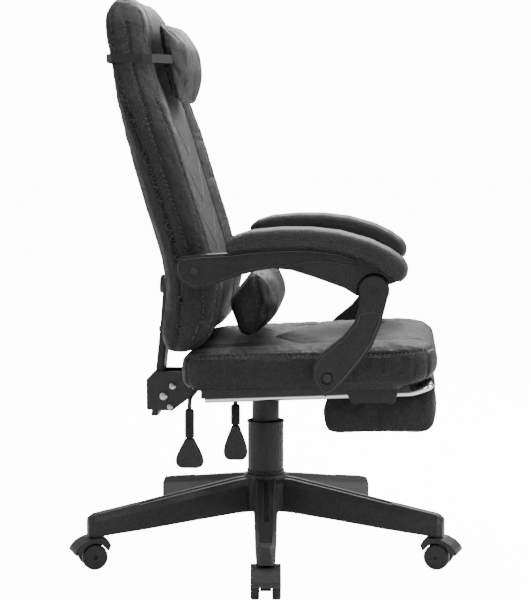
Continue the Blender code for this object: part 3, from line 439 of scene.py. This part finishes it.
def wrinkle(obj, centre, radius, depth, scale, seed):
    """Soft folds in one region of a skin."""
    middle = at(*centre)
    normals = [vertex.normal.copy() for vertex in obj.data.vertices]
    for vertex, normal in zip(obj.data.vertices, normals):
        away = (vertex.co - middle).length
        if away < radius:
            fade = (1 - away / radius) ** 2 * (3 - 2 * (1 - away / radius))
            wave = noise.noise(Vector((vertex.co.x * scale, vertex.co.y * scale,
                                       vertex.co.z * scale * 0.45 + seed)))
            ridge = 1 - 2 * abs(wave)
            vertex.co += normal * depth * (ridge - 0.6) * fade
    obj.data.update()
    SEARCH.pop(obj.name, None)


def tube_mesh(data, line, radius, segments=8, closed=False):
    """Adds a round tube along places to a bmesh."""
    rings = []
    count = len(line)
    side = (line[1] - line[0]).orthogonal().normalized()
    for index, centre in enumerate(line):
        before = line[index - 1] if index or closed else line[0]
        after = line[(index + 1) % count] if index < count - 1 or closed else line[-1]
        way = (after - before).normalized()
        side = (side - way * side.dot(way)).normalized()
        up = way.cross(side)
        rings.append([data.verts.new(centre + (side * math.cos(2 * math.pi * step / segments)
                                               + up * math.sin(2 * math.pi * step / segments)) * radius)
                      for step in range(segments)])
    pairs = list(zip(rings, rings[1:]))
    if closed:
        pairs.append((rings[-1], rings[0]))
    for low, high in pairs:
        for step in range(segments):
            after = (step + 1) % segments
            data.faces.new((low[step], low[after], high[after], high[step]))
    if not closed:
        data.faces.new(rings[0][::-1])
        data.faces.new(rings[-1])


def piping(name, lines, radius, look, body, slot="black_leather", sink=0.3):
    """A sewn-in cord along lines on a skin."""
    data = bmesh.new()
    for line in lines:
        tube_mesh(data, [spot - normal * radius * sink for spot, normal in line], radius)
    return place(new_object(name, data, look, 60), body, slot)


def stitches(name, lines, body, offset=0.0, pitch=0.0070, length=0.0054, radius=0.00060, look=None):
    """Rows of thread stitches beside lines on a skin."""
    data = bmesh.new()
    for line in lines:
        travelled = 0.0
        due = 0.0
        for (a, normal), (b, _) in zip(line, line[1:]):
            run = b - a
            travelled += run.length
            if travelled < due or run.length < 1e-6:
                continue
            due = travelled + pitch
            way = run.normalized()
            spot = a + way.cross(normal).normalized() * offset
            tilt = way * length / 2
            rise = normal * radius * 0.7
            tube_mesh(data, [spot - tilt - normal * radius, spot - tilt * 0.6 + rise, spot + tilt * 0.6 + rise,
                             spot + tilt - normal * radius], radius, 5)
    return place(new_object(name, data, look or THREAD, 60), body, "black_leather")


def bead(name, outline, x, side, radius, look, body, slot):
    """A raised line on a side plate's outer face, following a (forward, z) outline."""
    data = bmesh.new()
    line = [at(side * x, forward, z) for forward, z in outline]
    tube_mesh(data, line, radius, 6, True)
    return place(new_object(name, data, look, 60), body, slot)


def turned_mesh(data, profile, segments=48, centre=(0.0, 0.0)):
    """Adds a body turned about a vertical axis from a closed (radius, z) profile."""
    rings = []
    for radius, z in profile:
        rings.append([data.verts.new(at(centre[0] + radius * math.cos(2 * math.pi * step / segments),
                                        centre[1] + radius * math.sin(2 * math.pi * step / segments), z))
                      for step in range(segments)])
    for low, high in zip(rings, rings[1:] + rings[:1]):
        for step in range(segments):
            after = (step + 1) % segments
            data.faces.new((low[step], low[after], high[after], high[step]))


def rings_mesh(data, rings):
    """Adds a closed body through rings of equally many places."""
    layers = [[data.verts.new(spot) for spot in ring] for ring in rings]
    count = len(layers[0])
    for low, high in zip(layers, layers[1:]):
        for step in range(count):
            after = (step + 1) % count
            data.faces.new((low[step], low[after], high[after], high[step]))
    data.faces.new(layers[0][::-1])
    data.faces.new(layers[-1])


def inset(outline, distance):
    """A closed flat outline moved inward."""
    count = len(outline)
    area = sum(outline[i][0] * outline[(i + 1) % count][1] - outline[(i + 1) % count][0] * outline[i][1]
               for i in range(count))
    turn = 1 if area > 0 else -1
    moved = []
    for index in range(count):
        here = Vector(outline[index])
        before = (here - Vector(outline[index - 1])).normalized()
        after = (Vector(outline[(index + 1) % count]) - here).normalized()
        first = Vector((-before.y, before.x)) * turn
        second = Vector((-after.y, after.x)) * turn
        middle = (first + second).normalized()
        moved.append(tuple(here + middle * distance / max(0.5, middle.dot(first))))
    return moved


# ---------------------------------------------------------------- carried-over CAD nodes

BEVELS = {"base_star": 0.0022, "rear_bracket": 0.0007, "back_bar": 0.0010, "seat_mechanism": 0.0006,
          "rail_guide": 0.0010, "rail_channel": 0.0006, "arm_upper": 0.0026, "arm_lower": 0.0026,
          "arm_knuckle": 0.0012, "caster": 0.0009, "bolt": 0.0005, "column": 0.0004, "seat_board": 0.0008}
for node, obj in NODES.items():
    obj.data.materials.clear()
    obj.data.materials.append(LOOKS[SLOT_OF[node]])
    width = next((size for key, size in BEVELS.items() if key in node), None)
    if width:
        soften = obj.modifiers.new("soften", "BEVEL")
        soften.width = width
        soften.segments = 3
        soften.limit_method = "ANGLE"
        soften.angle_limit = math.radians(38)
        soften.harden_normals = True


# ---------------------------------------------------------------- backrest

BACK_RIDGE_HEAD = [(-0.165, -0.226, 1.062), (-0.186, -0.213, 1.010), (-0.188, -0.203, 0.958),
                   (-0.205, -0.190, 0.925),
                   (-0.235, -0.182, 0.903)]
BACK_RIDGE = [(-0.235, -0.182, 0.903), (-0.240, -0.160, 0.847), (-0.240, -0.141, 0.794),
              (-0.240, -0.122, 0.736),
              (-0.238, -0.103, 0.682), (-0.236, -0.089, 0.641), (-0.236, -0.078, 0.600),
              (-0.236, -0.070, 0.560),
              (-0.234, -0.078, 0.500), (-0.228, -0.090, 0.462)]
BACK_INNER = [(-0.120, -0.230, 1.050), (-0.140, -0.212, 1.000), (-0.155, -0.200, 0.932),
              (-0.165, -0.170, 0.875),
              (-0.168, -0.150, 0.815), (-0.168, -0.130, 0.750), (-0.168, -0.112, 0.680),
              (-0.168, -0.092, 0.610),
              (-0.166, -0.080, 0.550), (-0.160, -0.085, 0.490), (-0.152, -0.110, 0.450)]
BACK_SIDE = [(-0.195, -0.245, 1.045), (-0.206, -0.235, 0.985), (-0.224, -0.222, 0.936), (-0.252, -0.195, 0.860),
             (-0.256, -0.168, 0.770), (-0.256, -0.140, 0.680), (-0.254, -0.112, 0.600), (-0.252, -0.098, 0.550),
             (-0.248, -0.100, 0.490), (-0.240, -0.116, 0.450)]
BACK_REAR_SEAM = [(-0.120, -0.280, 1.092), (-0.165, -0.286, 1.078), (-0.195, -0.283, 1.040),
                  (-0.208, -0.270, 0.985),
                  (-0.224, -0.256, 0.936), (-0.250, -0.232, 0.870), (-0.256, -0.205, 0.800),
                  (-0.256, -0.177, 0.717),
                  (-0.254, -0.148, 0.616), (-0.252, -0.141, 0.552), (-0.245, -0.145, 0.478),
                  (-0.222, -0.156, 0.440)]
BACK_CHEVRONS = [[(0.0, -0.150, 0.790), (-0.080, -0.165, 0.850), (-0.166, -0.180, 0.905)],
                 [(0.0, -0.130, 0.700), (-0.080, -0.140, 0.755), (-0.166, -0.150, 0.800)],
                 [(0.0, -0.110, 0.610), (-0.080, -0.120, 0.665), (-0.166, -0.130, 0.700)]]
FRONTWARD = (0, 1, 0)


def both(obj, points, toward=None):
    """A line on each side of a skin."""
    return [line_on(obj, points, toward), line_on(obj, mirrored(points), toward)]


def build_backrest():
    """The upholstered back with its seams, welt and quilting."""
    skin = soft_copy("backrest_upholstery", ["backrest_pad", "back_cover"], 0.0055, 7, LEATHER)

    def seams():
        return (both(skin, BACK_RIDGE) + both(skin, BACK_RIDGE_HEAD), both(skin, BACK_INNER, FRONTWARD),
                both(skin, BACK_SIDE), both(skin, BACK_REAR_SEAM))

    def quilting():
        return [line for points in BACK_CHEVRONS for line in both(skin, points, FRONTWARD)]

    ridge, inner, side, rear = seams()
    held = pin_to_lines(skin, ridge + inner + side + rear, 0.008)
    puff(skin, held, 3.0, 0.004, 0.012)
    refine(skin)
    chevrons = quilting()
    ridge, inner, side, rear = seams()
    press(skin, ridge, 0.0032, 0.0030)
    press(skin, inner, 0.0040, 0.0040)
    press(skin, side, 0.0030, 0.0026)
    press(skin, rear, 0.0034, 0.0030)
    press(skin, chevrons, 0.0034, 0.0020)
    wrinkle(skin, (-0.25, -0.12, 0.50), 0.09, 0.0016, 26, 1.0)
    wrinkle(skin, (0.25, -0.12, 0.50), 0.09, 0.0016, 26, 2.0)
    place(skin, "back", "black_leather", "backrest_pad", "back_cover")
    ridge, inner, side, rear = seams()
    chevrons = quilting()
    stitches("backrest_ridge_thread_outer", ridge, "back", 0.0032)
    stitches("backrest_ridge_thread_inner", ridge, "back", -0.0032)
    stitches("backrest_inner_thread", inner, "back", 0.0036)
    stitches("backrest_side_thread", side, "back", 0.0028)
    stitches("backrest_chevron_thread_upper", chevrons, "back", 0.0034)
    stitches("backrest_chevron_thread_lower", chevrons, "back", -0.0034)
    piping("backrest_welt", rear, 0.0021, LEATHER_DARK, "back")


# ---------------------------------------------------------------- seat

SEAT_TOP_SIDE = [(-0.215, -0.141, 0.428), (-0.246, -0.110, 0.434), (-0.250, -0.050, 0.437),
                 (-0.250, 0.080, 0.437),
                 (-0.250, 0.200, 0.438), (-0.247, 0.270, 0.440), (-0.236, 0.306, 0.443)]
SEAT_FRONT_CORNER = [(-0.232, 0.312, 0.443), (-0.234, 0.312, 0.424), (-0.234, 0.312, 0.404),
                     (-0.230, 0.310, 0.386)]
SEAT_REAR_CORNER = [(-0.236, -0.128, 0.430), (-0.238, -0.130, 0.405), (-0.236, -0.128, 0.378)]
SEAT_INNER = [(-0.150, -0.130, 0.446), (-0.168, -0.080, 0.450), (-0.172, 0.020, 0.453), (-0.172, 0.140, 0.454),
              (-0.166, 0.240, 0.452), (-0.150, 0.300, 0.448)]
SEAT_CROSS = [(-0.168, 0.215, 0.452), (-0.085, 0.200, 0.452), (0.0, 0.195, 0.452), (0.085, 0.200, 0.452),
              (0.168, 0.215, 0.452)]
SEAT_CHEVRON = [(-0.168, 0.090, 0.452), (-0.085, 0.050, 0.452), (0.0, 0.020, 0.452), (0.085, 0.050, 0.452),
                (0.168, 0.090, 0.452)]
SEAT_FRONT_SEAM = [(-0.232, 0.314, 0.441), (-0.150, 0.331, 0.440), (0.0, 0.333, 0.440), (0.150, 0.331, 0.440),
                   (0.232, 0.314, 0.441)]
DOWNWARD = (0, 0, -1)
BOARD_HEIGHT = 0.3661
SEAT_SLOPE = 0.021
BOARD_RIM = 0.004
BOARD_CLEAR = 0.004
FOLD_START = 0.003
FOLD_DEPTH = 0.0015
RIGID_BELOW = 0.385


def tuck_over_board(skin):
    """Lifts the skin's underside off the board and folds its rim down past the board's edge."""
    low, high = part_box("seat_board")
    for vertex in skin.data.vertices:
        spot = vertex.co
        across = low.x + BOARD_RIM < spot.x < high.x - BOARD_RIM
        along = low.y + BOARD_RIM < spot.y < high.y - BOARD_RIM
        under = BOARD_HEIGHT + SEAT_SLOPE * (AXIS_Y - spot.y)
        if across and along and spot.z < under + BOARD_CLEAR:
            spot.z = under + BOARD_CLEAR
        elif not (across and along) and spot.z < under + FOLD_START:
            spot.z = min(spot.z, under - FOLD_DEPTH)
    skin.data.update()
    SEARCH.pop(skin.name, None)


def build_seat():
    """The cushion: side boxing, bolsters and a sewn sitting panel."""
    skin = soft_copy("seat_upholstery", ["seat_cushion", "seat_board"], 0.0050, 4, LEATHER)

    def seams():
        return (both(skin, SEAT_TOP_SIDE), both(skin, SEAT_FRONT_CORNER) + both(skin, SEAT_REAR_CORNER),
                both(skin, SEAT_INNER, DOWNWARD),
                [line_on(skin, SEAT_CROSS, DOWNWARD), line_on(skin, SEAT_CHEVRON, DOWNWARD)],
                [line_on(skin, SEAT_FRONT_SEAM)])

    top, corners, inner, cross, front = seams()
    held = pin_to_lines(skin, top + corners + inner + cross + front, 0.008)
    for vertex in skin.data.vertices:
        if vertex.co.z < RIGID_BELOW + SEAT_SLOPE * (AXIS_Y - vertex.co.y):
            held.add([vertex.index], 1.0, "REPLACE")
    puff(skin, held, 3.5, 0.006, 0.015)
    refine(skin)
    top, corners, inner, cross, front = seams()
    press(skin, top + front, 0.0034, 0.0034)
    press(skin, corners, 0.0032, 0.0032)
    press(skin, inner, 0.0042, 0.0044)
    press(skin, cross, 0.0034, 0.0026)
    wrinkle(skin, (-0.25, -0.09, 0.405), 0.070, 0.0024, 30, 3.0)
    wrinkle(skin, (0.25, -0.09, 0.405), 0.070, 0.0024, 30, 4.0)
    wrinkle(skin, (-0.24, 0.29, 0.41), 0.060, 0.0016, 30, 5.0)
    wrinkle(skin, (0.24, 0.29, 0.41), 0.060, 0.0016, 30, 6.0)
    tuck_over_board(skin)
    place(skin, "seat", "black_leather", "seat_cushion")
    top, corners, inner, cross, front = seams()
    stitches("seat_top_thread_upper", top + front, "seat", 0.0034)
    stitches("seat_top_thread_lower", top + front, "seat", -0.0034)
    stitches("seat_corner_thread", corners, "seat", 0.0030)
    stitches("seat_inner_thread", inner, "seat", 0.0038)
    stitches("seat_cross_thread_front", cross, "seat", 0.0034)
    stitches("seat_cross_thread_rear", cross, "seat", -0.0034)


# ---------------------------------------------------------------- pillows

def shade_by_region(obj, look, test):
    """Gives a second material to the faces whose centre passes a test."""
    obj.data.materials.append(look)
    for face in obj.data.polygons:
        if test(face.center, face.normal):
            face.material_index = 1


def build_pillow(name, node, rear_line, panel, folds):
    """A stuffed pillow with end panels, an edge seam and soft folds."""
    skin = soft_copy(name, [node], 0.0045, 5, LEATHER_SOFT)
    edge = [line_on(skin, rear_line), line_on(skin, mirrored(rear_line))]
    held = pin_to_lines(skin, edge, 0.006)
    for vertex in skin.data.vertices:
        if vertex.co.y > AXIS_Y - panel(vertex.co.z) + 0.004:
            held.add([vertex.index], 1.0, "REPLACE")
    puff(skin, held, 3.5, 0.006, 0.03)
    refine(skin)
    for centre, radius, depth, scale, seed in folds:
        wrinkle(skin, centre, radius, depth, scale, seed)
    edge = [line_on(skin, rear_line), line_on(skin, mirrored(rear_line))]
    press(skin, edge, 0.0030, 0.0026)
    shade_by_region(skin, LEATHER_DARK, lambda centre, normal: centre.y > AXIS_Y - panel(centre.z))
    place(skin, "back", "black_leather", node)
    edge = [line_on(skin, rear_line), line_on(skin, mirrored(rear_line))]
    stitches(name + "_thread", edge, "back", 0.0030)
    piping(name + "_welt", edge, 0.0013, LEATHER_DARK, "back", sink=0.4)


HEAD_EDGE = [(-0.138, -0.196, 1.040), (-0.143, -0.186, 1.005), (-0.144, -0.176, 0.970), (-0.143, -0.166, 0.935),
             (-0.138, -0.158, 0.905)]
LUMBAR_EDGE = [(-0.150, -0.010, 0.580), (-0.162, -0.006, 0.556), (-0.164, 0.001, 0.528),
               (-0.162, -0.004, 0.498),
               (-0.152, -0.018, 0.464)]


def build_pillows():
    """The neck and lumbar pillows and the neck pillow's strap."""
    build_pillow("neck_pillow_skin", "head_pillow", HEAD_EDGE,
                 lambda z: -0.140 - (z - 0.905) * 0.36,
                 [((-0.10, -0.14, 0.99), 0.08, 0.0030, 28, 7.0), ((0.10, -0.14, 0.99), 0.08, 0.0030, 28, 8.0),
                  ((0.0, -0.13, 0.93), 0.07, 0.0020, 24, 9.0)])
    build_pillow("lumbar_pillow_skin", "lumbar_pillow", LUMBAR_EDGE,
                 lambda z: 0.0 - abs(z - 0.528) * 0.22,
                 [((-0.12, 0.02, 0.54), 0.06, 0.0020, 30, 10.0), ((0.12, 0.02, 0.54), 0.06, 0.0020, 30, 11.0)])
    strap = soft_band()
    place(strap, "back", "black_fabric", "head_strap")


def soft_band():
    """The neck pillow's woven strap, a close copy of its run with a softened edge."""
    data = bmesh.new()
    data.from_mesh(NODES["head_strap"].data)
    made = new_object("neck_strap_tape", data, LOOKS["black_fabric"], 30)
    soften = made.modifiers.new("soften", "BEVEL")
    soften.width = 0.0005
    soften.segments = 2
    soften.limit_method = "ANGLE"
    return bake(made)


build_backrest()
build_seat()
build_pillows()


# ---------------------------------------------------------------- arm pads and footrest pad

ARM_TOP_LINE = [(-0.045, 0.626), (0.000, 0.633), (0.050, 0.636), (0.100, 0.637), (0.150, 0.632), (0.200, 0.617),
                (0.235, 0.597), (0.262, 0.580)]


def build_arm_pad(name, side):
    """A soft moulded pad with its side seam."""
    skin = soft_copy("arm_pad_skin_" + name, ["arm_pad_" + name], 0.0040, 6, LEATHER_DARK)
    refine(skin)
    lines = [line_on(skin, [(side * x, forward, z + 0.006) for forward, z in ARM_TOP_LINE]) for x in (0.236,
                                                                                                      0.322)]
    press(skin, lines, 0.0018, 0.0012)
    place(skin, name + "_arm", "black_leather", "arm_pad_" + name)


RAIL_X = 0.190
RAIL_RADIUS = 0.0065
RAIL_REAR = (-0.101, 0.3395)
RAIL_BEND = (0.288, 0.3560)
RAIL_BAR = (0.3215, 0.3680)
BAR_HOLD = 0.030
FOOT_EDGE_LOW = [(-0.142, 0.132, 0.2760), (-0.142, 0.180, 0.2765), (-0.142, 0.240, 0.2775),
                 (-0.142, 0.315, 0.2795)]
FOOT_CENTRE = [(-0.142, 0.224, 0.338), (-0.142, 0.224, 0.305), (-0.142, 0.224, 0.273)]


def build_footrest_pad():
    """The upholstered footrest with its end seams."""
    skin = soft_copy("footrest_upholstery", ["footrest_pad"], 0.0045, 4, LEATHER)
    edges = both(skin, FOOT_EDGE_LOW) + both(skin, FOOT_CENTRE)
    held = pin_to_lines(skin, edges, 0.006)
    bar = at(0, *RAIL_BAR)
    for vertex in skin.data.vertices:
        if math.hypot(vertex.co.y - bar.y, vertex.co.z - bar.z) < BAR_HOLD:
            held.add([vertex.index], 1.0, "REPLACE")
    puff(skin, held, 3.0, 0.004, 0.01)
    refine(skin)
    press(skin, both(skin, FOOT_EDGE_LOW) + both(skin, FOOT_CENTRE), 0.0026, 0.0020)
    place(skin, "footrest_flap", "black_leather", "footrest_pad")
    stitches("footrest_thread", both(skin, FOOT_EDGE_LOW) + both(skin, FOOT_CENTRE), "footrest_flap", 0.0032)


# ---------------------------------------------------------------- arm link trim

ARM_LINK = [(-0.135, 0.6155), (-0.099, 0.6195), (-0.050, 0.6225), (0.000, 0.629), (0.050, 0.632),
            (0.100, 0.633),
            (0.150, 0.627), (0.186, 0.6165), (0.193, 0.5960), (0.165, 0.5990), (0.132, 0.6040), (0.110, 0.6040),
            (0.083, 0.6010), (0.060, 0.5965), (0.034, 0.5960), (0.005, 0.5915), (-0.026, 0.5830),
            (-0.057, 0.5720),
            (-0.086, 0.5620), (-0.111, 0.5590), (-0.132, 0.5680), (-0.1430, 0.5850), (-0.1440, 0.6010)]
STRUT = [(0.2300, 0.497), (0.2150, 0.458), (0.1920, 0.425), (0.1650, 0.392), (0.1440, 0.3720), (0.1310, 0.3655),
         (0.1180, 0.3730), (0.1070, 0.3950), (0.1070, 0.4140), (0.1140, 0.4320), (0.1300, 0.4480),
         (0.1610, 0.4730),
         (0.1820, 0.4990), (0.1880, 0.5180), (0.2160, 0.5240), (0.2360, 0.5180)]


def build_arm_trim(name, side):
    """Raised lines that follow the rims of the two arm links, in a lighter plastic that paints the rims' glossy
    highlight.
    """
    bead("arm_rim_" + name, inset(ARM_LINK, 0.0050), 0.2958, side, 0.0015, RIM_PAINTED_HIGHLIGHT, name + "_arm",
         "dark_plastic")
    bead("strut_rim_" + name, inset(STRUT, 0.0050), 0.2998, side, 0.0015, RIM_PAINTED_HIGHLIGHT, name + "_strut",
         "dark_plastic")


# ---------------------------------------------------------------- levers

def build_sheath(name, x, forward, low, high, body):
    """A ribbed rubber boot round the hanging lever."""
    profile = [(0.0046, low), (0.0082, low)]
    ribs = 11
    pitch = (high - low - 0.004) / ribs
    for rib in range(ribs):
        start = low + 0.0005 + pitch * rib
        profile += [(0.0080, start), (0.0094, start + 0.30 * pitch), (0.0094, start + 0.62 * pitch),
                    (0.0080, start + 0.92 * pitch)]
    profile += [(0.0070, high - 0.001), (0.0046, high)]
    data = bmesh.new()
    turned_mesh(data, profile, 28, (x, forward))
    place(new_object(name + "_boot", data, LOOKS["insert_rubber"], 60), body, "insert_rubber", name + "_sheath")


def build_grip(name, x, forward, top, low, half, body):
    """A paddle grip with a bevelled rim round a dished face."""
    stations = [(0.0, 0.34), (0.10, 0.38), (0.25, 0.56), (0.42, 0.76), (0.60, 0.93), (0.76, 1.0), (0.88, 0.95),
                (0.96, 0.78), (1.0, 0.55)]
    data = bmesh.new()
    rings = []
    for share, scale in stations:
        z = top - share * (top - low)
        wide = half * scale
        deep = 0.0082 - 0.0022 * share
        section = [(wide, 0.45 * deep), (0.86 * wide, deep), (0.74 * wide, deep), (0.66 * wide, deep * 0.84),
                   (0.0, deep * 0.80)]
        outline = section + [(-u, v) for u, v in section[-2::-1]]
        outline += [(-u, -v) for u, v in section[:-1]] + [(0.0, -deep * 0.80)] + [(u, -v) for u,
                                                                                  v in section[-2::-1]]
        rings.append([at(x + v, forward + u, z) for u, v in outline])
    rings_mesh(data, rings)
    made = new_object(name + "_paddle", data, LOOKS["dark_plastic"], 30)
    refine(made, 2)
    made.data.shade_smooth()
    place(made, body, "dark_plastic", name + "_grip")


# ---------------------------------------------------------------- metalwork and column trim

def filleted(corners, steps=12):
    """Straight runs joined by smooth bends at (place, reach) corners."""
    path = [corners[0][0]]
    for before, (here, reach), after in zip(corners, corners[1:], corners[2:]):
        start = here + (before[0] - here).normalized() * reach
        end = here + (after[0] - here).normalized() * reach
        for step in range(steps + 1):
            share = step / steps
            path.append(start.lerp(here, share).lerp(here.lerp(end, share), share))
    return path + [corners[-1][0]]


def build_frame_tube():
    """The footrest's chrome tube, drawn round along its bent run."""
    right = [(-RAIL_X, *RAIL_REAR), (-RAIL_X, *RAIL_BEND), (-RAIL_X, *RAIL_BAR)]
    left = [(-x, forward, z) for x, forward, z in right[::-1]]
    corners = [(at(*spot), reach) for spot, reach in zip(right + left, (0, 0.0100, 0.0200, 0.0200, 0.0100, 0))]
    data = bmesh.new()
    tube_mesh(data, filleted(corners), RAIL_RADIUS, 32)
    place(new_object("footrest_chrome", data, LOOKS["chrome_tube"], 60), "footrest_slider", "chrome_tube",
          "footrest_frame")


def build_column_trim():
    """The rolled collar on the lower cover and the hub's cap ring."""
    for name, radius, z, thick in (("collar", 0.0352, 0.2700, 0.0022), ("foot_ring", 0.0358, 0.1720, 0.0016)):
        data = bmesh.new()
        line = [at(radius * math.cos(math.tau * step / 64), radius * math.sin(math.tau * step / 64), z)
                for step in range(64)]
        tube_mesh(data, line, thick, 10, True)
        place(new_object("column_" + name, data, LOOKS["dark_plastic"], 80), "base", "dark_plastic")


def build_bolt_heads():
    """Bright domed heads over the bracket's rivets."""
    data = bmesh.new()
    for forward, z, radius in ((-0.199, 0.322, 0.0083), (-0.186, 0.301, 0.0063), (-0.181, 0.342, 0.0071)):
        for side in (-1, 1):
            rings = []
            for lift, share in ((0.0, 1.0), (0.0022, 1.0), (0.0036, 0.88), (0.0045, 0.66), (0.0049, 0.30)):
                rings.append([at(side * (0.0366 + lift),
                                 forward + radius * share * math.cos(math.tau * step / 24),
                                 z + radius * share * math.sin(math.tau * step / 24)) for step in range(24)])
            rings_mesh(data, rings)
    place(new_object("bracket_bolt_heads", data, LOOKS["bolt_steel"], 50), "seat", "bolt_steel")


for arm_name, arm_side in (("right", -1), ("left", 1)):
    build_arm_pad(arm_name, arm_side)
    build_arm_trim(arm_name, arm_side)
build_footrest_pad()
build_sheath("recline", -0.2200, -0.127, 0.2725, 0.3265, "recline_handle")
build_sheath("height", -0.1550, -0.0465, 0.2875, 0.3265, "height_handle")
build_grip("recline", -0.2200, -0.127, 0.2717, 0.2140, 0.0272, "recline_handle")
build_grip("height", -0.1550, -0.0465, 0.2867, 0.2185, 0.0235, "height_handle")
build_frame_tube()
build_column_trim()
build_bolt_heads()


# ---------------------------------------------------------------- stage

def area_light(name, spot, target, size, energy):
    """A soft studio panel aimed at a point."""
    data = bpy.data.lights.new(name, "AREA")
    data.shape = "RECTANGLE"
    data.size, data.size_y = size
    data.energy = energy
    light = bpy.data.objects.new(name, data)
    light.location = spot
    light.rotation_euler = (Vector(target) - Vector(spot)).to_track_quat("-Z", "Y").to_euler()
    bpy.context.scene.collection.objects.link(light)


WALL_LIGHT = 0.42
WALL_SEEN = 14.0
FLOOR_GLOW = 13.2
CAMERA_LENS = 110.4
CAMERA_SPOT = (-3.5815, -0.251, 0.854)
CAMERA_WAY = (0.99296, 0.07118, -0.09463)


def build_stage():
    """A pale floor, studio panels and the camera."""
    world = bpy.data.worlds.new("studio")
    bpy.context.scene.world = world
    world.use_nodes = True
    tree = world.node_tree
    walls = tree.nodes["Background"]
    walls.inputs["Color"].default_value = (1.0, 1.0, 1.0, 1.0)
    eye = tree.nodes.new("ShaderNodeLightPath").outputs["Is Camera Ray"]
    tree.links.new(remap(tree, eye, 0.0, 1.0, WALL_LIGHT, WALL_SEEN), walls.inputs["Strength"])
    data = bmesh.new()
    bmesh.ops.create_grid(data, x_segments=1, y_segments=1, size=30.0)
    made, tree, shader, coords = new_material("paper")
    tree.links.new(tint(tree, noise_node(tree, coords, 3.0), (0.93, 0.93, 0.93), (0.95, 0.95, 0.95)),
                   shader.inputs["Base Color"])
    tree.links.new(remap(tree, noise_node(tree, coords, 40.0), 0.3, 0.7, 0.85, 0.95),
                   shader.inputs["Roughness"])
    eye = tree.nodes.new("ShaderNodeLightPath").outputs["Is Camera Ray"]
    shader.inputs["Emission Color"].default_value = (1.0, 1.0, 1.0, 1.0)
    tree.links.new(remap(tree, eye, 0.0, 1.0, 0.0, FLOOR_GLOW), shader.inputs["Emission Strength"])
    new_object("floor", data, made)
    area_light("key", (-2.6, -1.6, 2.6), (0, 0, 0.6), (1.6, 1.6), 46)
    area_light("front", (0.2, -3.2, 1.7), (0, 0, 0.7), (1.4, 1.8), 95)
    area_light("top", (0.2, -0.3, 3.2), (0, 0, 0.5), (1.8, 1.8), 75)
    area_light("far", (3.0, -0.3, 2.3), (0, 0, 0.5), (2.4, 1.4), 85)
    area_light("rear", (-0.8, 3.0, 1.8), (0, 0, 0.7), (1.0, 1.8), 30)
    camera_data = bpy.data.cameras.new("camera")
    camera_data.lens = CAMERA_LENS
    camera_data.sensor_width = 36.0
    camera_data.sensor_fit = "AUTO"
    camera = bpy.data.objects.new("camera", camera_data)
    camera.location = CAMERA_SPOT
    camera.rotation_mode = "QUATERNION"
    camera.rotation_quaternion = Vector(CAMERA_WAY).to_track_quat("-Z", "Y")
    bpy.context.scene.collection.objects.link(camera)
    bpy.context.scene.camera = camera


build_stage()
